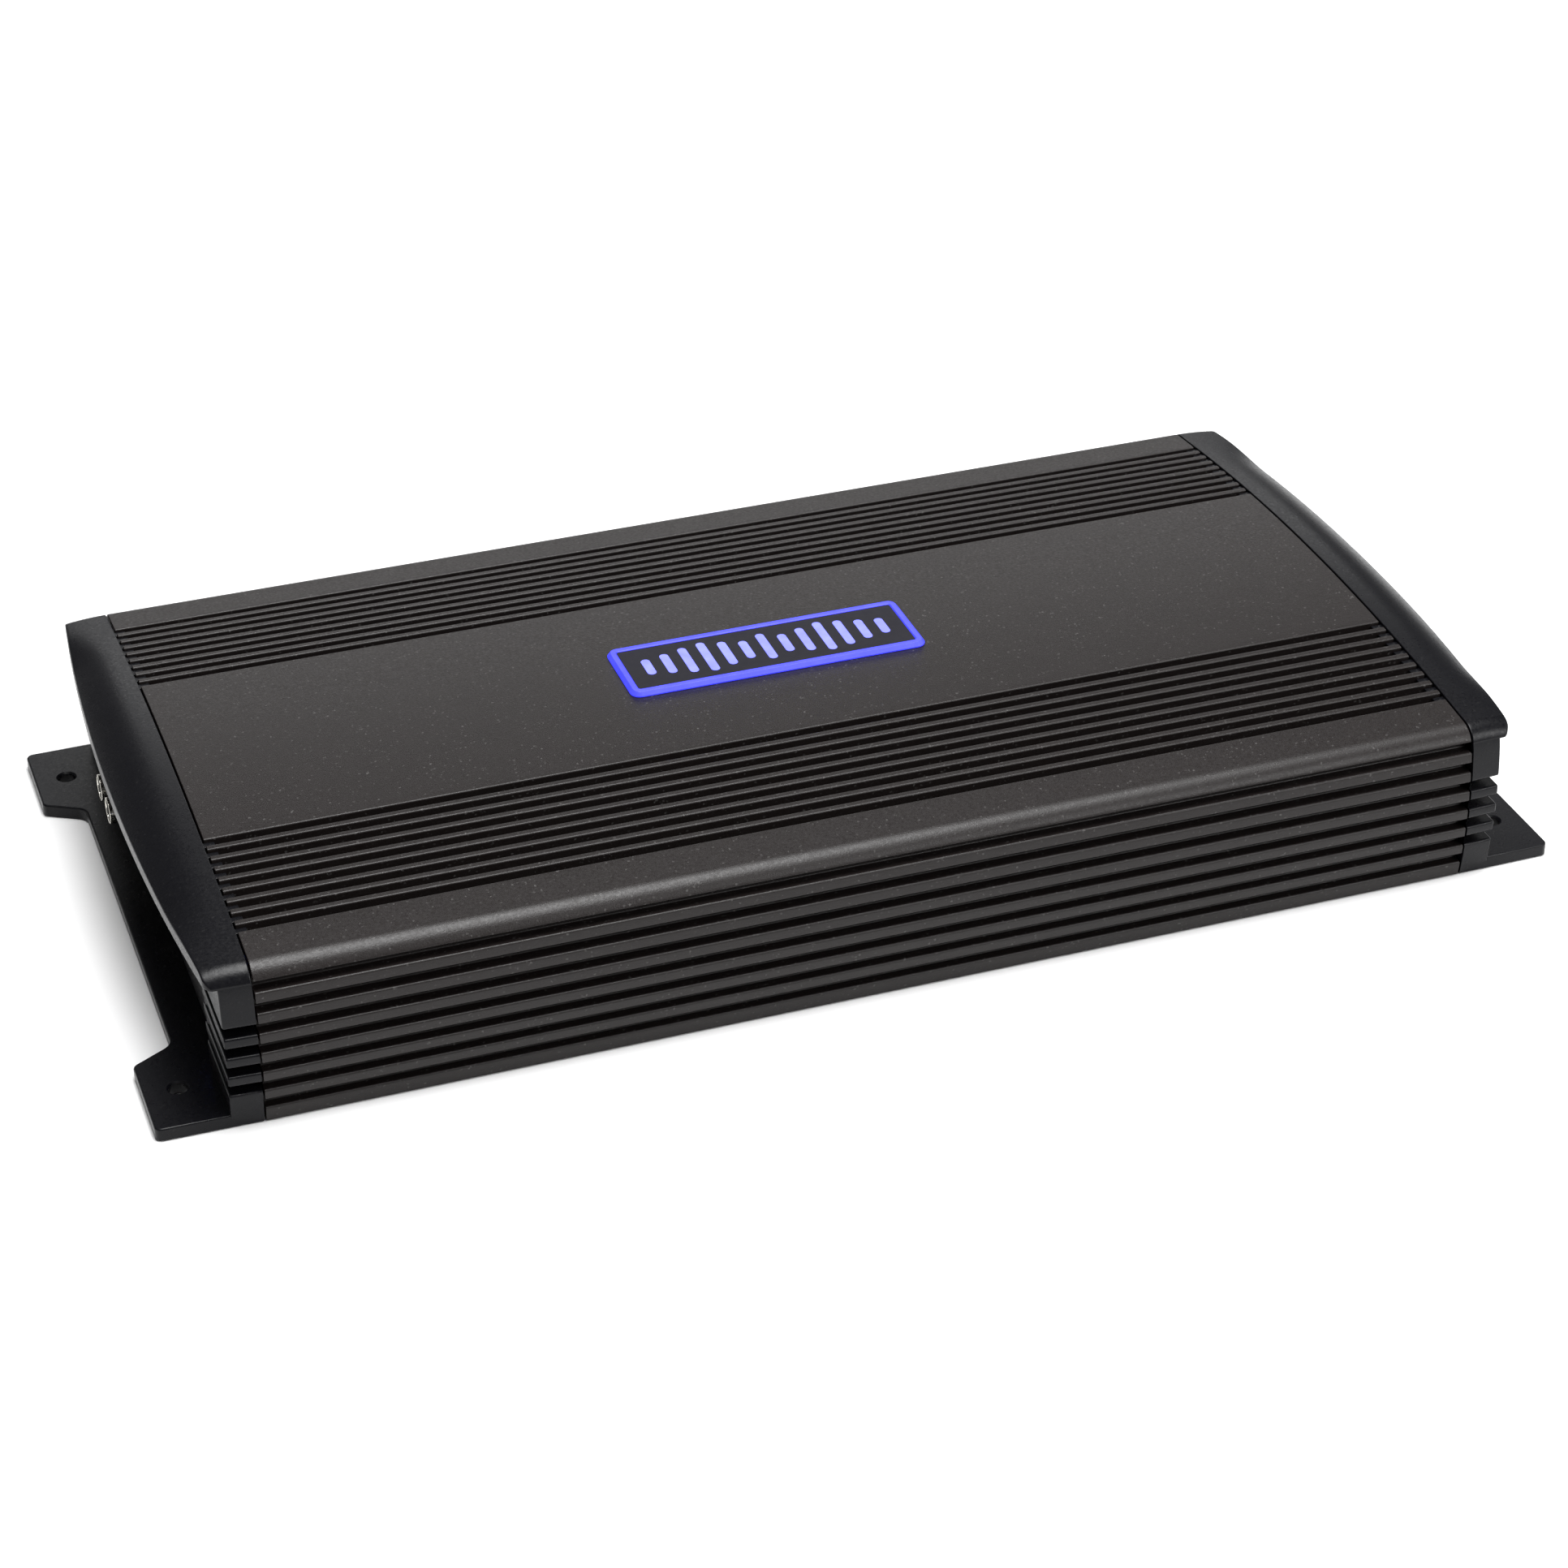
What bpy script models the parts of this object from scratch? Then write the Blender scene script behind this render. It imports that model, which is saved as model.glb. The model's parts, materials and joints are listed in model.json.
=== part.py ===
"""Car amplifier: finned aluminium heatsink between two cast end caps, electronics inside.

X runs along the length, Y to the back, Z up. The origin is the bottom centre. Metres.
Lengths below are given in millimetres and multiplied by MM where geometry is made.
"""
import math

import bmesh
import bpy
from mathutils import Vector

MM = 0.001
CUT_OVER = 2.0            # how far a cutter stands out of the face it cuts
FIT = 0.3                 # clearance between pieces that touch

# ---- overall body -------------------------------------------------------------------
SEAM_X = 185.0            # seam plane between heatsink and end cap, from the centre
SEAM_HALF_GAP = 0.25      # half of the shadow gap at the seam
HALF_LENGTH = SEAM_X - SEAM_HALF_GAP
TOP_Z = 57.6              # crown height on the centre line
CROWN_RADIUS = 860.0      # the whole top is a very shallow arch across the width
SIDE_Y = 111.0            # widest point of the bowed side
SIDE_Z = 28.0             # height of that widest point
SIDE_RADIUS = 140.0
SHOULDER_RADIUS = 7.0
SHOULDER_Y = 102.9
SHOULDER_Z = 44.5
SHOULDER_TILT = math.radians(7.0)
SHOULDER_STEPS = 8
FOOT_CHAMFER = 0.4        # broken edge where the side meets the underside

# ---- cooling fins -------------------------------------------------------------------
PANEL_HALF_WIDTH = 46.9   # plain centre panel that carries the badge
TOP_FIN_PITCH = 5.18
TOP_GROOVE = 2.96
TOP_GROOVE_COUNT = 9
TOP_GROOVE_DEPTH = 5.0
TOP_EDGE_BEVEL = 0.4
SIDE_FIN_PITCH = 6.48
SIDE_GROOVE = 3.2
SIDE_GROOVE_COUNT = 7
SIDE_GROOVE_DEPTH = 3.9
SIDE_GROOVE_TOP_Z = 47.3
SIDE_EDGE_BEVEL = 0.6

# ---- inside of the heatsink ---------------------------------------------------------
INNER_HALF_WIDTH = 101.0
CEILING_MID_Z = 50.0
CEILING_MID_HALF = 40.0
CEILING_EDGE_Z = 43.5
CEILING_EDGE_HALF = 95.0
CEILING_STEP_Z = 45.0     # where the thin-walled finned part meets the panel
CEILING_STEP_HALF = 48.0
CEILING_CHAMFER = 4.0
BOARD_LEDGE_TOP_Z = 11.4
BOARD_LEDGE_THICK = 2.2
BOARD_LEDGE_HALF = 90.0
FLOOR_LEDGE_TOP_Z = 5.6
FLOOR_LEDGE_BOTTOM_Z = 3.4
FLOOR_LEDGE_HALF = 95.0
PLATE_SLOT_HALF = 104.0
PLATE_THICK = 1.5
PLATE_BOTTOM_Z = 1.6
PLATE_HALF_WIDTH = 103.6

# ---- end caps -----------------------------------------------------------------------
CAP_TAPER = 0.055         # front and back faces lean inward going outward
CAP_EDGE = 0.8            # bevel round the outer edge of blocks and ribs
BLOCK_DEPTH = 9.6         # corner block, outward from the seam
FLANGE_DEPTH = 18.3
TAB_DEPTH = 30.6
FLANGE_THICK = 4.2
TAB_FRONT_Y = 107.8
TAB_INNER_Y = 75.0
TAB_CHAMFER_Y = 68.0
TAB_CORNER = 2.2
TAB_HOLE_DIAMETER = 5.5
TAB_HOLE_DEPTH_X = 20.6
TAB_HOLE_Y = 89.7
BAY_HALF = 80.0           # recess for the connectors
BAY_WALL = 2.6
BAY_BACK_LUG = 7.0
RIB_INSET = 9.0           # the wall behind the ribs stands this far inside the side
CORE_DEPTH = 3.6          # thickness of that wall
JOIN_IN = 1.5             # how far one part of the casting is sunk into the next
BLOCK_BOTTOM_Z = 34.2
BASE_BLOCK_TOP_Z = 11.7
RIB_TOPS_Z = (31.1, 24.65, 18.2)
RIB_THICK = 3.4
VISOR_UNDER_Z = 46.6
VISOR_CURVE_START = 3.0
VISOR_CURVE_RADIUS = 23.0
VISOR_MID_DEPTH = 19.0
VISOR_PLAN_RADIUS = 990.0
VISOR_CORNER_RADIUS = 3.2
VISOR_EVEN_HALF = 70.0     # the lip droops in full up to here
VISOR_BLUNT_HALF = 103.0   # and by the share below from here to the corner
VISOR_CORNER_DROOP = 0.28
VISOR_POCKET_TOP_Z = 50.2
VISOR_POCKET_DEPTH = 13.0
VISOR_STEPS = 9
FINGER_LENGTH = 3.2
FINGER_CLEARANCE = 0.25
FINGER_DROP = 0.9

# ---- badge --------------------------------------------------------------------------
BADGE_LENGTH = 94.6
BADGE_WIDTH = 29.6
BADGE_RISE = 1.5
BADGE_BORDER = 2.7
BADGE_BEVEL = 0.9
BADGE_CORNER = 3.2
BADGE_FOOT_DEPTH = 3.5    # the light frame reaches this far into the panel
BADGE_FOOT_INSET = 2.0
BADGE_FOOT_CORNER = 0.3
SEAT_CLEARANCE = 0.05
BADGE_UPRIGHT = 0.5       # straight edge below the sloped one
LIGHT_WELL_INSET = 2.5
INSERT_THICK = 1.65
LED_BOARD_THICK = 1.6
INSERT_RISE = 1.25

# ---- connector panels ---------------------------------------------------------------
CONNECTOR_PANEL_IN = 4.5  # outward from the seam
CONNECTOR_PANEL_OUT = 6.5
CONNECTOR_PANEL_HALF = 79.4
CONNECTOR_PANEL_BOTTOM_Z = 4.6
CONNECTOR_PANEL_TOP_Z = 46.2

# ---- board --------------------------------------------------------------------------
BOARD_BOTTOM_Z = 11.7
BOARD_THICK = 1.6
BOARD_TOP_Z = BOARD_BOTTOM_Z + BOARD_THICK
PARTS_Z = BOARD_TOP_Z + FIT
BOARD_HALF_LENGTH = 182.0
BOARD_HALF_WIDTH = 100.4

# ---- controls on the left end -------------------------------------------------------
CONTROL_Z = 24.0          # one line of sockets, adjusters and lamps
PART_BACK = -8.0          # parts on the board reach this far in from the seam
RCA_Y = (46.0, 31.9)
RCA_FACE_OUT = 6.9
RCA_HOUSING_HALF = 6.7
RCA_SLEEVE_RADIUS = 4.15
RCA_SLEEVE_BORE = 3.45
RCA_SLEEVE_REACH = 16.0   # tip of the sleeve, outward from the seam
RCA_SLEEVE_SEAT = 3.0     # depth of the sleeve in its housing
RCA_CORE_RADIUS = 3.1
RCA_CORE_BACK = 1.0       # the insulating core ends this far inside the sleeve
RCA_PIN_BORE = 1.7
SLEEVE_GAP = 0.1
KNOB_NAMES = ("level", "subsonic", "low_pass", "bass_boost")
KNOB_Y = (12.0, -4.0, -20.0, -36.0)
KNOB_RADIUS = 3.0
KNOB_REACH = 7.4
KNOB_BACK = 1.3
KNOB_SLOT_HALF_WIDTH = 0.5
KNOB_SLOT_HALF_LENGTH = 2.2
KNOB_SLOT_DEPTH = 1.2
POT_HALF = 5.0
POT_TOP_Z = 29.5
SWITCH_Y = -51.0
SWITCH_TRAVEL = 3.0
SWITCH_BODY_HALF = 6.0
SWITCH_BODY_HALF_HEIGHT = 3.2
SLIDER_HALF_WIDTH = 1.6
SLIDER_HALF_HEIGHT = 1.5
SLIDER_OUT = 7.6
REMOTE_Y = 63.0
REMOTE_HALF = 5.7
REMOTE_SOCKET_HALF_WIDTH = 4.2
REMOTE_SOCKET_HALF_HEIGHT = 3.4
REMOTE_SOCKET_IN = -5.0
LED_Y = (-62.5, -68.0)
LED_RADIUS = 1.5
LED_OUT = 7.3
LED_IN = -5.0
LED_POST = (-4.5, -3.5)
PANEL_SCREW_Y = 76.0
PANEL_SCREW_Z = 25.4

# ---- terminals on the right end -----------------------------------------------------
TERMINAL_REACH = 15.5
TERMINAL_BOTTOM_Z = 7.5
TERMINAL_TOP_Z = 25.5
POWER_PITCH = 15.0
POWER_Y = (-58.0, -43.0, -28.0)
SPEAKER_Y = (44.0, 59.0)
WIRE_HOLE_RADIUS = 4.6
WIRE_HOLE_Z = 14.5
WIRE_HOLE_IN = -4.0       # inner end of a wire hole, from the seam
SET_SCREW_OUT = 11.0
SET_SCREW_RADIUS = 3.0
SET_SCREW_TOP_Z = 25.2
SET_SCREW_BOTTOM_Z = 19.5
HEX_RADIUS = 1.6
HEX_DEPTH = 2.6
FUSE_Y = (-2.0, 18.0)
FUSE_HALF_WIDTH = 6.0
FUSE_HALF_HEIGHT = 2.6
FUSE_Z = 16.5
FUSE_SEAT = 3.0           # depth of the fuse body in its holder
FUSE_STANDS_OUT = 4.5
FUSE_MARGIN = 2.0
FUSE_HOLDER_OUT = 10.0
FUSE_HOLDER_TOP_Z = 22.0
BLADE_OFFSET = 3.6
BLADE_HALF_WIDTH = 1.4
BLADE_HALF_THICK = 0.45
BLADE_LENGTH = 7.0
BLADE_GAP = 0.35

# ---- fasteners ----------------------------------------------------------------------
SCREW_HEAD_RADIUS = 2.7
SCREW_SHANK_RADIUS = 1.15
SCREW_TAP_RADIUS = 1.3
SCREW_CLEAR_RADIUS = 1.7
SCREW_DRIVE_RADIUS = 1.1  # across the corners of the hexagon socket, halved
BOTTOM_HEAD_LOW_Z = 0.2
BOTTOM_DRIVE_TOP_Z = 0.9
PANEL_HEAD_OUT = 8.4
PANEL_DRIVE_OUT = 7.6

# ---- power stage --------------------------------------------------------------------
TOROID_HEIGHT = 17.0
TOROID_BORE = 0.45        # bore as a share of the outer radius
TOROID_ROUND = 4.0
CAPACITOR_HEIGHT = 27.0
TRANSISTOR_HALF = 7.8
TRANSISTOR_THICK = 4.8
TRANSISTOR_Z = (17.5, 33.0)
LEAD_PITCH = 5.4
LEAD_HALF = 0.6
LEAD_THICK = 0.8
CLAMP_THICK = 3.0
CLAMP_Z = (21.0, 29.0)
TOROIDS = (("power_toroid_a", 72.0, -20.0, 21.0), ("power_toroid_b", 72.0, 32.0, 21.0),
           ("output_choke", -58.0, 22.0, 17.0))
CAPACITORS = (("input_capacitor_a", 128.0, -32.0, 11.0), ("input_capacitor_b", 128.0, -4.0, 11.0),
              ("rail_capacitor_a", 10.0, -22.0, 11.0), ("rail_capacitor_b", 10.0, 14.0, 11.0))
TRANSISTOR_X = (-110.0, -60.0, 90.0)
CLAMP_X = (-125.0, 105.0)
BOTTOM_SCREWS = ((-150.0, -99.3), (150.0, -99.3), (-150.0, 99.3), (150.0, 99.3))


# ---- materials ----------------------------------------------------------------------
def material(name, colour, metallic, roughness, glow=None):
    mat = bpy.data.materials.new(name)
    mat.use_nodes = True
    shader = mat.node_tree.nodes["Principled BSDF"]
    shader.inputs["Base Color"].default_value = (*colour, 1.0)
    shader.inputs["Metallic"].default_value = metallic
    shader.inputs["Roughness"].default_value = roughness
    if glow:
        shader.inputs["Emission Color"].default_value = (*glow, 1.0)
        shader.inputs["Emission Strength"].default_value = 1.5
    return mat


# ---- solid building -----------------------------------------------------------------
def solid(name, verts, faces, origin=(0.0, 0.0, 0.0)):
    """A closed mesh object from millimetre coordinates, with its origin where asked."""
    mesh = bpy.data.meshes.new(name)
    base = Vector(origin)
    mesh.from_pydata([(Vector(v) - base) * MM for v in verts], [], faces)
    work = bmesh.new()
    work.from_mesh(mesh)
    bmesh.ops.remove_doubles(work, verts=work.verts, dist=1e-7)
    bmesh.ops.recalc_face_normals(work, faces=work.faces)
    work.to_mesh(mesh)
    work.free()
    obj = bpy.data.objects.new(name, mesh)
    obj.location = base * MM
    bpy.context.collection.objects.link(obj)
    return obj


def extrude(name, outline, axis, start, end, origin=(0.0, 0.0, 0.0)):
    """Straight extrusion of a closed outline along one axis."""
    def place(point, along):
        a, b = point
        return {"X": (along, a, b), "Y": (a, along, b), "Z": (a, b, along)}[axis]

    count = len(outline)
    verts = [place(p, start) for p in outline] + [place(p, end) for p in outline]
    faces = [tuple(range(count)), tuple(range(count, 2 * count))]
    faces += [(i, (i + 1) % count, count + (i + 1) % count, count + i) for i in range(count)]
    return solid(name, verts, faces, origin)


def box(name, x, y, z, origin=(0.0, 0.0, 0.0)):
    outline = [(x[0], y[0]), (x[1], y[0]), (x[1], y[1]), (x[0], y[1])]
    return extrude(name, outline, "Z", z[0], z[1], origin)


def ring_points(radius, count, centre=(0.0, 0.0), phase=0.0):
    points = []
    for i in range(count):
        angle = phase + math.tau * i / count
        points.append((centre[0] + radius * math.cos(angle), centre[1] + radius * math.sin(angle)))
    return points


def rod(name, radius, axis, centre, start, end, count=32, origin=(0.0, 0.0, 0.0)):
    return extrude(name, ring_points(radius, count, centre), axis, start, end, origin)


def lathe(name, profile, axis, centre, count=32):
    """Turned ring: profile holds (radius, distance along axis) corners of a closed section."""
    verts = []
    for i in range(count):
        angle = math.tau * i / count
        for radius, along in profile:
            a = centre[0] + radius * math.cos(angle)
            b = centre[1] + radius * math.sin(angle)
            verts.append({"X": (along, a, b), "Z": (a, b, along)}[axis])
    size = len(profile)
    faces = []
    for i in range(count):
        for j in range(size):
            nxt = (i + 1) % count
            faces.append((i * size + j, nxt * size + j,
                          nxt * size + (j + 1) % size, i * size + (j + 1) % size))
    return solid(name, verts, faces)


def combine(target, tools, operation):
    """Boolean the tools into the target; the tools stay behind as hidden wire cutters."""
    for tool in tools:
        tool.hide_render = True
        tool.display_type = "WIRE"
        step = target.modifiers.new(operation.lower(), "BOOLEAN")
        step.operation = operation
        step.solver = "EXACT"
        step.object = tool
    return target


def cut(target, *tools):
    return combine(target, tools, "DIFFERENCE")


def join(target, *tools):
    return combine(target, tools, "UNION")


def finish(obj, mat, smooth=False):
    obj.data.materials.clear()
    obj.data.materials.append(mat)
    if smooth:
        obj.data.shade_smooth()
        obj.data.set_sharp_from_angle(angle=math.radians(32.0))
    return obj


# ---- cross-section of the body ------------------------------------------------------
def crown_z(y):
    return TOP_Z - CROWN_RADIUS + math.sqrt(CROWN_RADIUS ** 2 - y ** 2)


def side_y(z):
    return SIDE_Y - (z - SIDE_Z) ** 2 / (2.0 * SIDE_RADIUS)


def skin_y(z):
    """Outside of the body at a height, the rounded shoulder included."""
    if z <= SHOULDER_Z:
        return side_y(z)
    across = math.sqrt(max(0.0, SHOULDER_RADIUS ** 2 - (z - SHOULDER_Z) ** 2))
    return min(side_y(z), SHOULDER_Y + across)


def shoulder():
    """Rounded shoulder from the top edge down to the side, on the +Y side."""
    points = []
    turn = math.radians(90.0) - 2 * SHOULDER_TILT
    for i in range(SHOULDER_STEPS + 1):
        angle = math.radians(90.0) - SHOULDER_TILT - i / SHOULDER_STEPS * turn
        points.append((SHOULDER_Y + SHOULDER_RADIUS * math.cos(angle),
                       SHOULDER_Z + SHOULDER_RADIUS * math.sin(angle)))
    return points


def groove_y(index):
    """Inner and outer wall of a top groove, measured from the centre line."""
    inner = PANEL_HALF_WIDTH + index * TOP_FIN_PITCH
    return inner, inner + TOP_GROOVE


def top_outline():
    """Top of the +Y half from the centre line to the start of the shoulder."""
    points = [(PANEL_HALF_WIDTH * i / 6.0, crown_z(PANEL_HALF_WIDTH * i / 6.0)) for i in range(6)]
    bevel = TOP_EDGE_BEVEL
    for index in range(TOP_GROOVE_COUNT):
        inner, outer = groove_y(index)
        floor = crown_z((inner + outer) / 2.0) - TOP_GROOVE_DEPTH
        points += [(inner - bevel, crown_z(inner - bevel)), (inner, crown_z(inner) - bevel),
                   (inner, floor), (outer, floor),
                   (outer, crown_z(outer) - bevel), (outer + bevel, crown_z(outer + bevel))]
    strip = groove_y(TOP_GROOVE_COUNT - 1)[1] + TOP_EDGE_BEVEL
    middle = (strip + shoulder()[0][0]) / 2.0
    points.append((middle, crown_z(middle)))
    return points


def side_outline():
    """Grooved side of the +Y half, from the shoulder down to the bottom edge."""
    points = [p for p in shoulder() if p[1] > SIDE_GROOVE_TOP_Z]
    bevel = SIDE_EDGE_BEVEL
    for index in range(SIDE_GROOVE_COUNT):
        top = SIDE_GROOVE_TOP_Z - index * SIDE_FIN_PITCH
        bottom = top - SIDE_GROOVE
        root = SIDE_Y - SIDE_GROOVE_DEPTH - (top - SIDE_Z) ** 2 / (2.0 * SIDE_RADIUS)
        points += [(side_y(top), top), (root, top), (root, bottom),
                   (side_y(bottom) - bevel, bottom), (side_y(bottom - bevel), bottom - bevel)]
    points.append((side_y(FOOT_CHAMFER), FOOT_CHAMFER))
    points.append((side_y(0.0) - FOOT_CHAMFER, 0.0))
    return points


def inner_outline():
    """Inside of the +Y half, from the bottom edge up to the centre line."""
    return [
        (PLATE_SLOT_HALF, 0.0), (PLATE_SLOT_HALF, FLOOR_LEDGE_BOTTOM_Z),
        (FLOOR_LEDGE_HALF, FLOOR_LEDGE_BOTTOM_Z), (FLOOR_LEDGE_HALF, FLOOR_LEDGE_TOP_Z),
        (INNER_HALF_WIDTH, FLOOR_LEDGE_TOP_Z), (INNER_HALF_WIDTH, BOARD_LEDGE_TOP_Z - BOARD_LEDGE_THICK),
        (BOARD_LEDGE_HALF, BOARD_LEDGE_TOP_Z - BOARD_LEDGE_THICK),
        (BOARD_LEDGE_HALF, BOARD_LEDGE_TOP_Z), (INNER_HALF_WIDTH, BOARD_LEDGE_TOP_Z),
        (INNER_HALF_WIDTH, CEILING_EDGE_Z - CEILING_CHAMFER), (CEILING_EDGE_HALF, CEILING_EDGE_Z),
        (CEILING_STEP_HALF, CEILING_STEP_Z), (CEILING_MID_HALF, CEILING_MID_Z),
    ]


def mirrored(half):
    """Close a +Y half outline with its mirror image; the half starts on the centre line."""
    other = [(-y, z) for y, z in reversed(half) if y > 1e-6]
    return half + other


def outer_shell():
    """Smooth envelope of the +Y half above the visor underside: (y, z) pairs."""
    points = [(12.0 * i, crown_z(12.0 * i)) for i in range(9)]
    points += shoulder()
    points.append((side_y(VISOR_UNDER_Z), VISOR_UNDER_Z))
    return [p for p in points if p[1] >= VISOR_UNDER_Z]


# ---- heatsink -----------------------------------------------------------------------
def build_heatsink(mat):
    half = top_outline() + side_outline() + inner_outline()
    body = extrude("heatsink", mirrored(half), "X", -HALF_LENGTH, HALF_LENGTH)
    foot_x = BADGE_LENGTH / 2.0 - BADGE_FOOT_INSET + FIT
    foot_y = BADGE_WIDTH / 2.0 - BADGE_FOOT_INSET + FIT
    window = box("cut_badge_window", (-foot_x, foot_x), (-foot_y, foot_y),
                 (CEILING_MID_Z - CUT_OVER, TOP_Z + CUT_OVER))
    tools = [window]
    for i, (x, y) in enumerate(BOTTOM_SCREWS):
        tools.append(rod("cut_plate_thread_%d" % i, SCREW_TAP_RADIUS, "Z", (x, y),
                         PLATE_BOTTOM_Z, FLOOR_LEDGE_TOP_Z + 2.0, 16))
    return finish(cut(body, *tools), mat)


def build_bottom_plate(mat):
    plate = box("bottom_plate", (-HALF_LENGTH + FIT, HALF_LENGTH - FIT),
                (-PLATE_HALF_WIDTH, PLATE_HALF_WIDTH), (PLATE_BOTTOM_Z, PLATE_BOTTOM_Z + PLATE_THICK))
    holes = []
    for i, (x, y) in enumerate(BOTTOM_SCREWS):
        holes.append(rod("cut_plate_hole_%d" % i, SCREW_CLEAR_RADIUS, "Z", (x, y),
                         0.0, FLOOR_LEDGE_TOP_Z, 16))
    return finish(cut(plate, *holes), mat)


# ---- end caps -----------------------------------------------------------------------
def tapered_slab(name, side, y_sign, z_low, z_high, y_inner, depth):
    """Slab of a corner: outer face follows the bowed side and leans inward going outward."""
    near = SEAM_HALF_GAP
    levels = [z_low + (z_high - z_low) * i / 4.0 for i in range(5)]
    section = [(y_inner, z_low)] + [(None, z) for z in levels] + [(y_inner, z_high)]
    verts = []
    for u in (near, depth - CAP_EDGE, depth):
        pinch = CAP_EDGE if u == depth else 0.0
        for y, z in section:
            value = skin_y(z) - CAP_TAPER * (u - near) - pinch if y is None else y
            verts.append((side * (SEAM_X + u), y_sign * value, z))
    size = len(section)
    faces = [tuple(range(size)), tuple(range(2 * size, 3 * size))]
    for layer in range(2):
        for i in range(size):
            j = (i + 1) % size
            faces.append((layer * size + i, layer * size + j,
                          (layer + 1) * size + j, (layer + 1) * size + i))
    return solid(name, verts, faces)


def visor_reach(y):
    """How far the visor stands out at y: bowed lip with a rounded corner at each side."""
    bowed = VISOR_MID_DEPTH - y * y / (2.0 * VISOR_PLAN_RADIUS)
    into = max(0.0, abs(y) - (side_y(VISOR_UNDER_Z) - VISOR_CORNER_RADIUS))
    return bowed - VISOR_CORNER_RADIUS + math.sqrt(max(0.0, VISOR_CORNER_RADIUS ** 2 - into ** 2))


def visor_droop(u, y):
    """Drop of the visor's top: a bend that fades out towards the corners."""
    reach = max(0.0, u - VISOR_CURVE_START)
    bend = VISOR_CURVE_RADIUS - math.sqrt(VISOR_CURVE_RADIUS ** 2 - reach ** 2)
    share = (abs(y) - VISOR_EVEN_HALF) / (VISOR_BLUNT_HALF - VISOR_EVEN_HALF)
    share = min(1.0, max(0.0, share))
    return bend * (1.0 - (1.0 - VISOR_CORNER_DROOP) * share * share * (3.0 - 2.0 * share))


def build_visor(name, side):
    """Roof of the cap: carries on the body's arch, then curves down to a bowed lip."""
    half = outer_shell()
    shell = [(-y, z) for y, z in reversed(half[1:])] + half
    rows = []
    for step in range(VISOR_STEPS + 1):
        share = step / VISOR_STEPS
        row = []
        for y, z in shell:
            u = SEAM_HALF_GAP + share * (visor_reach(y) - SEAM_HALF_GAP)
            local = crown_z(y) - VISOR_UNDER_Z
            height = (z - VISOR_UNDER_Z) * (1.0 - visor_droop(u, y) / local)
            row.append((side * (SEAM_X + u), y * (1.0 - CAP_TAPER * u / SIDE_Y), VISOR_UNDER_Z + height))
        rows.append(row)
    width = len(shell)
    verts = [v for row in rows for v in row]
    top = [(r * width + c, r * width + c + 1, (r + 1) * width + c + 1, (r + 1) * width + c)
           for r in range(VISOR_STEPS) for c in range(width - 1)]
    base = len(verts)
    verts += [(x, y, VISOR_UNDER_Z) for x, y, _ in rows[0][1:-1]]
    verts += [(x, y, VISOR_UNDER_Z) for x, y, _ in rows[-1][1:-1]]
    inner = [0] + list(range(base, base + width - 2)) + [width - 1]
    outer_start = VISOR_STEPS * width
    outer = [outer_start] + list(range(base + width - 2, base + 2 * (width - 2)))
    outer.append(outer_start + width - 1)
    faces = list(top)
    for c in range(width - 1):
        faces.append((inner[c], inner[c + 1], c + 1, c))
        faces.append((outer_start + c, outer_start + c + 1, outer[c + 1], outer[c]))
    left = [r * width for r in range(VISOR_STEPS + 1)]
    right = [r * width + width - 1 for r in range(VISOR_STEPS + 1)]
    faces.append(tuple(left + outer[1:-1] + right[::-1] + inner[-2:0:-1]))
    faces = [tuple(dict.fromkeys(face)) for face in faces]
    return solid(name, verts, [face for face in faces if len(face) > 2])


def flange_outline(side):
    """Plan of the foot: full-width flange with one mounting tab at each corner."""
    corner = TAB_CORNER
    half = [
        (SEAM_HALF_GAP, side_y(0.0)), (TAB_DEPTH - corner, TAB_FRONT_Y),
        (TAB_DEPTH - 0.3 * corner, TAB_FRONT_Y - 0.3 * corner), (TAB_DEPTH, TAB_FRONT_Y - corner),
        (TAB_DEPTH, TAB_INNER_Y), (TAB_DEPTH - 0.3 * corner, TAB_INNER_Y - 0.7 * corner),
        (FLANGE_DEPTH + corner, TAB_CHAMFER_Y + 0.7 * corner), (FLANGE_DEPTH, TAB_CHAMFER_Y - corner),
    ]
    full = half + [(u, -y) for u, y in reversed(half)]
    return [(side * (SEAM_X + u), y) for u, y in full]


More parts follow.
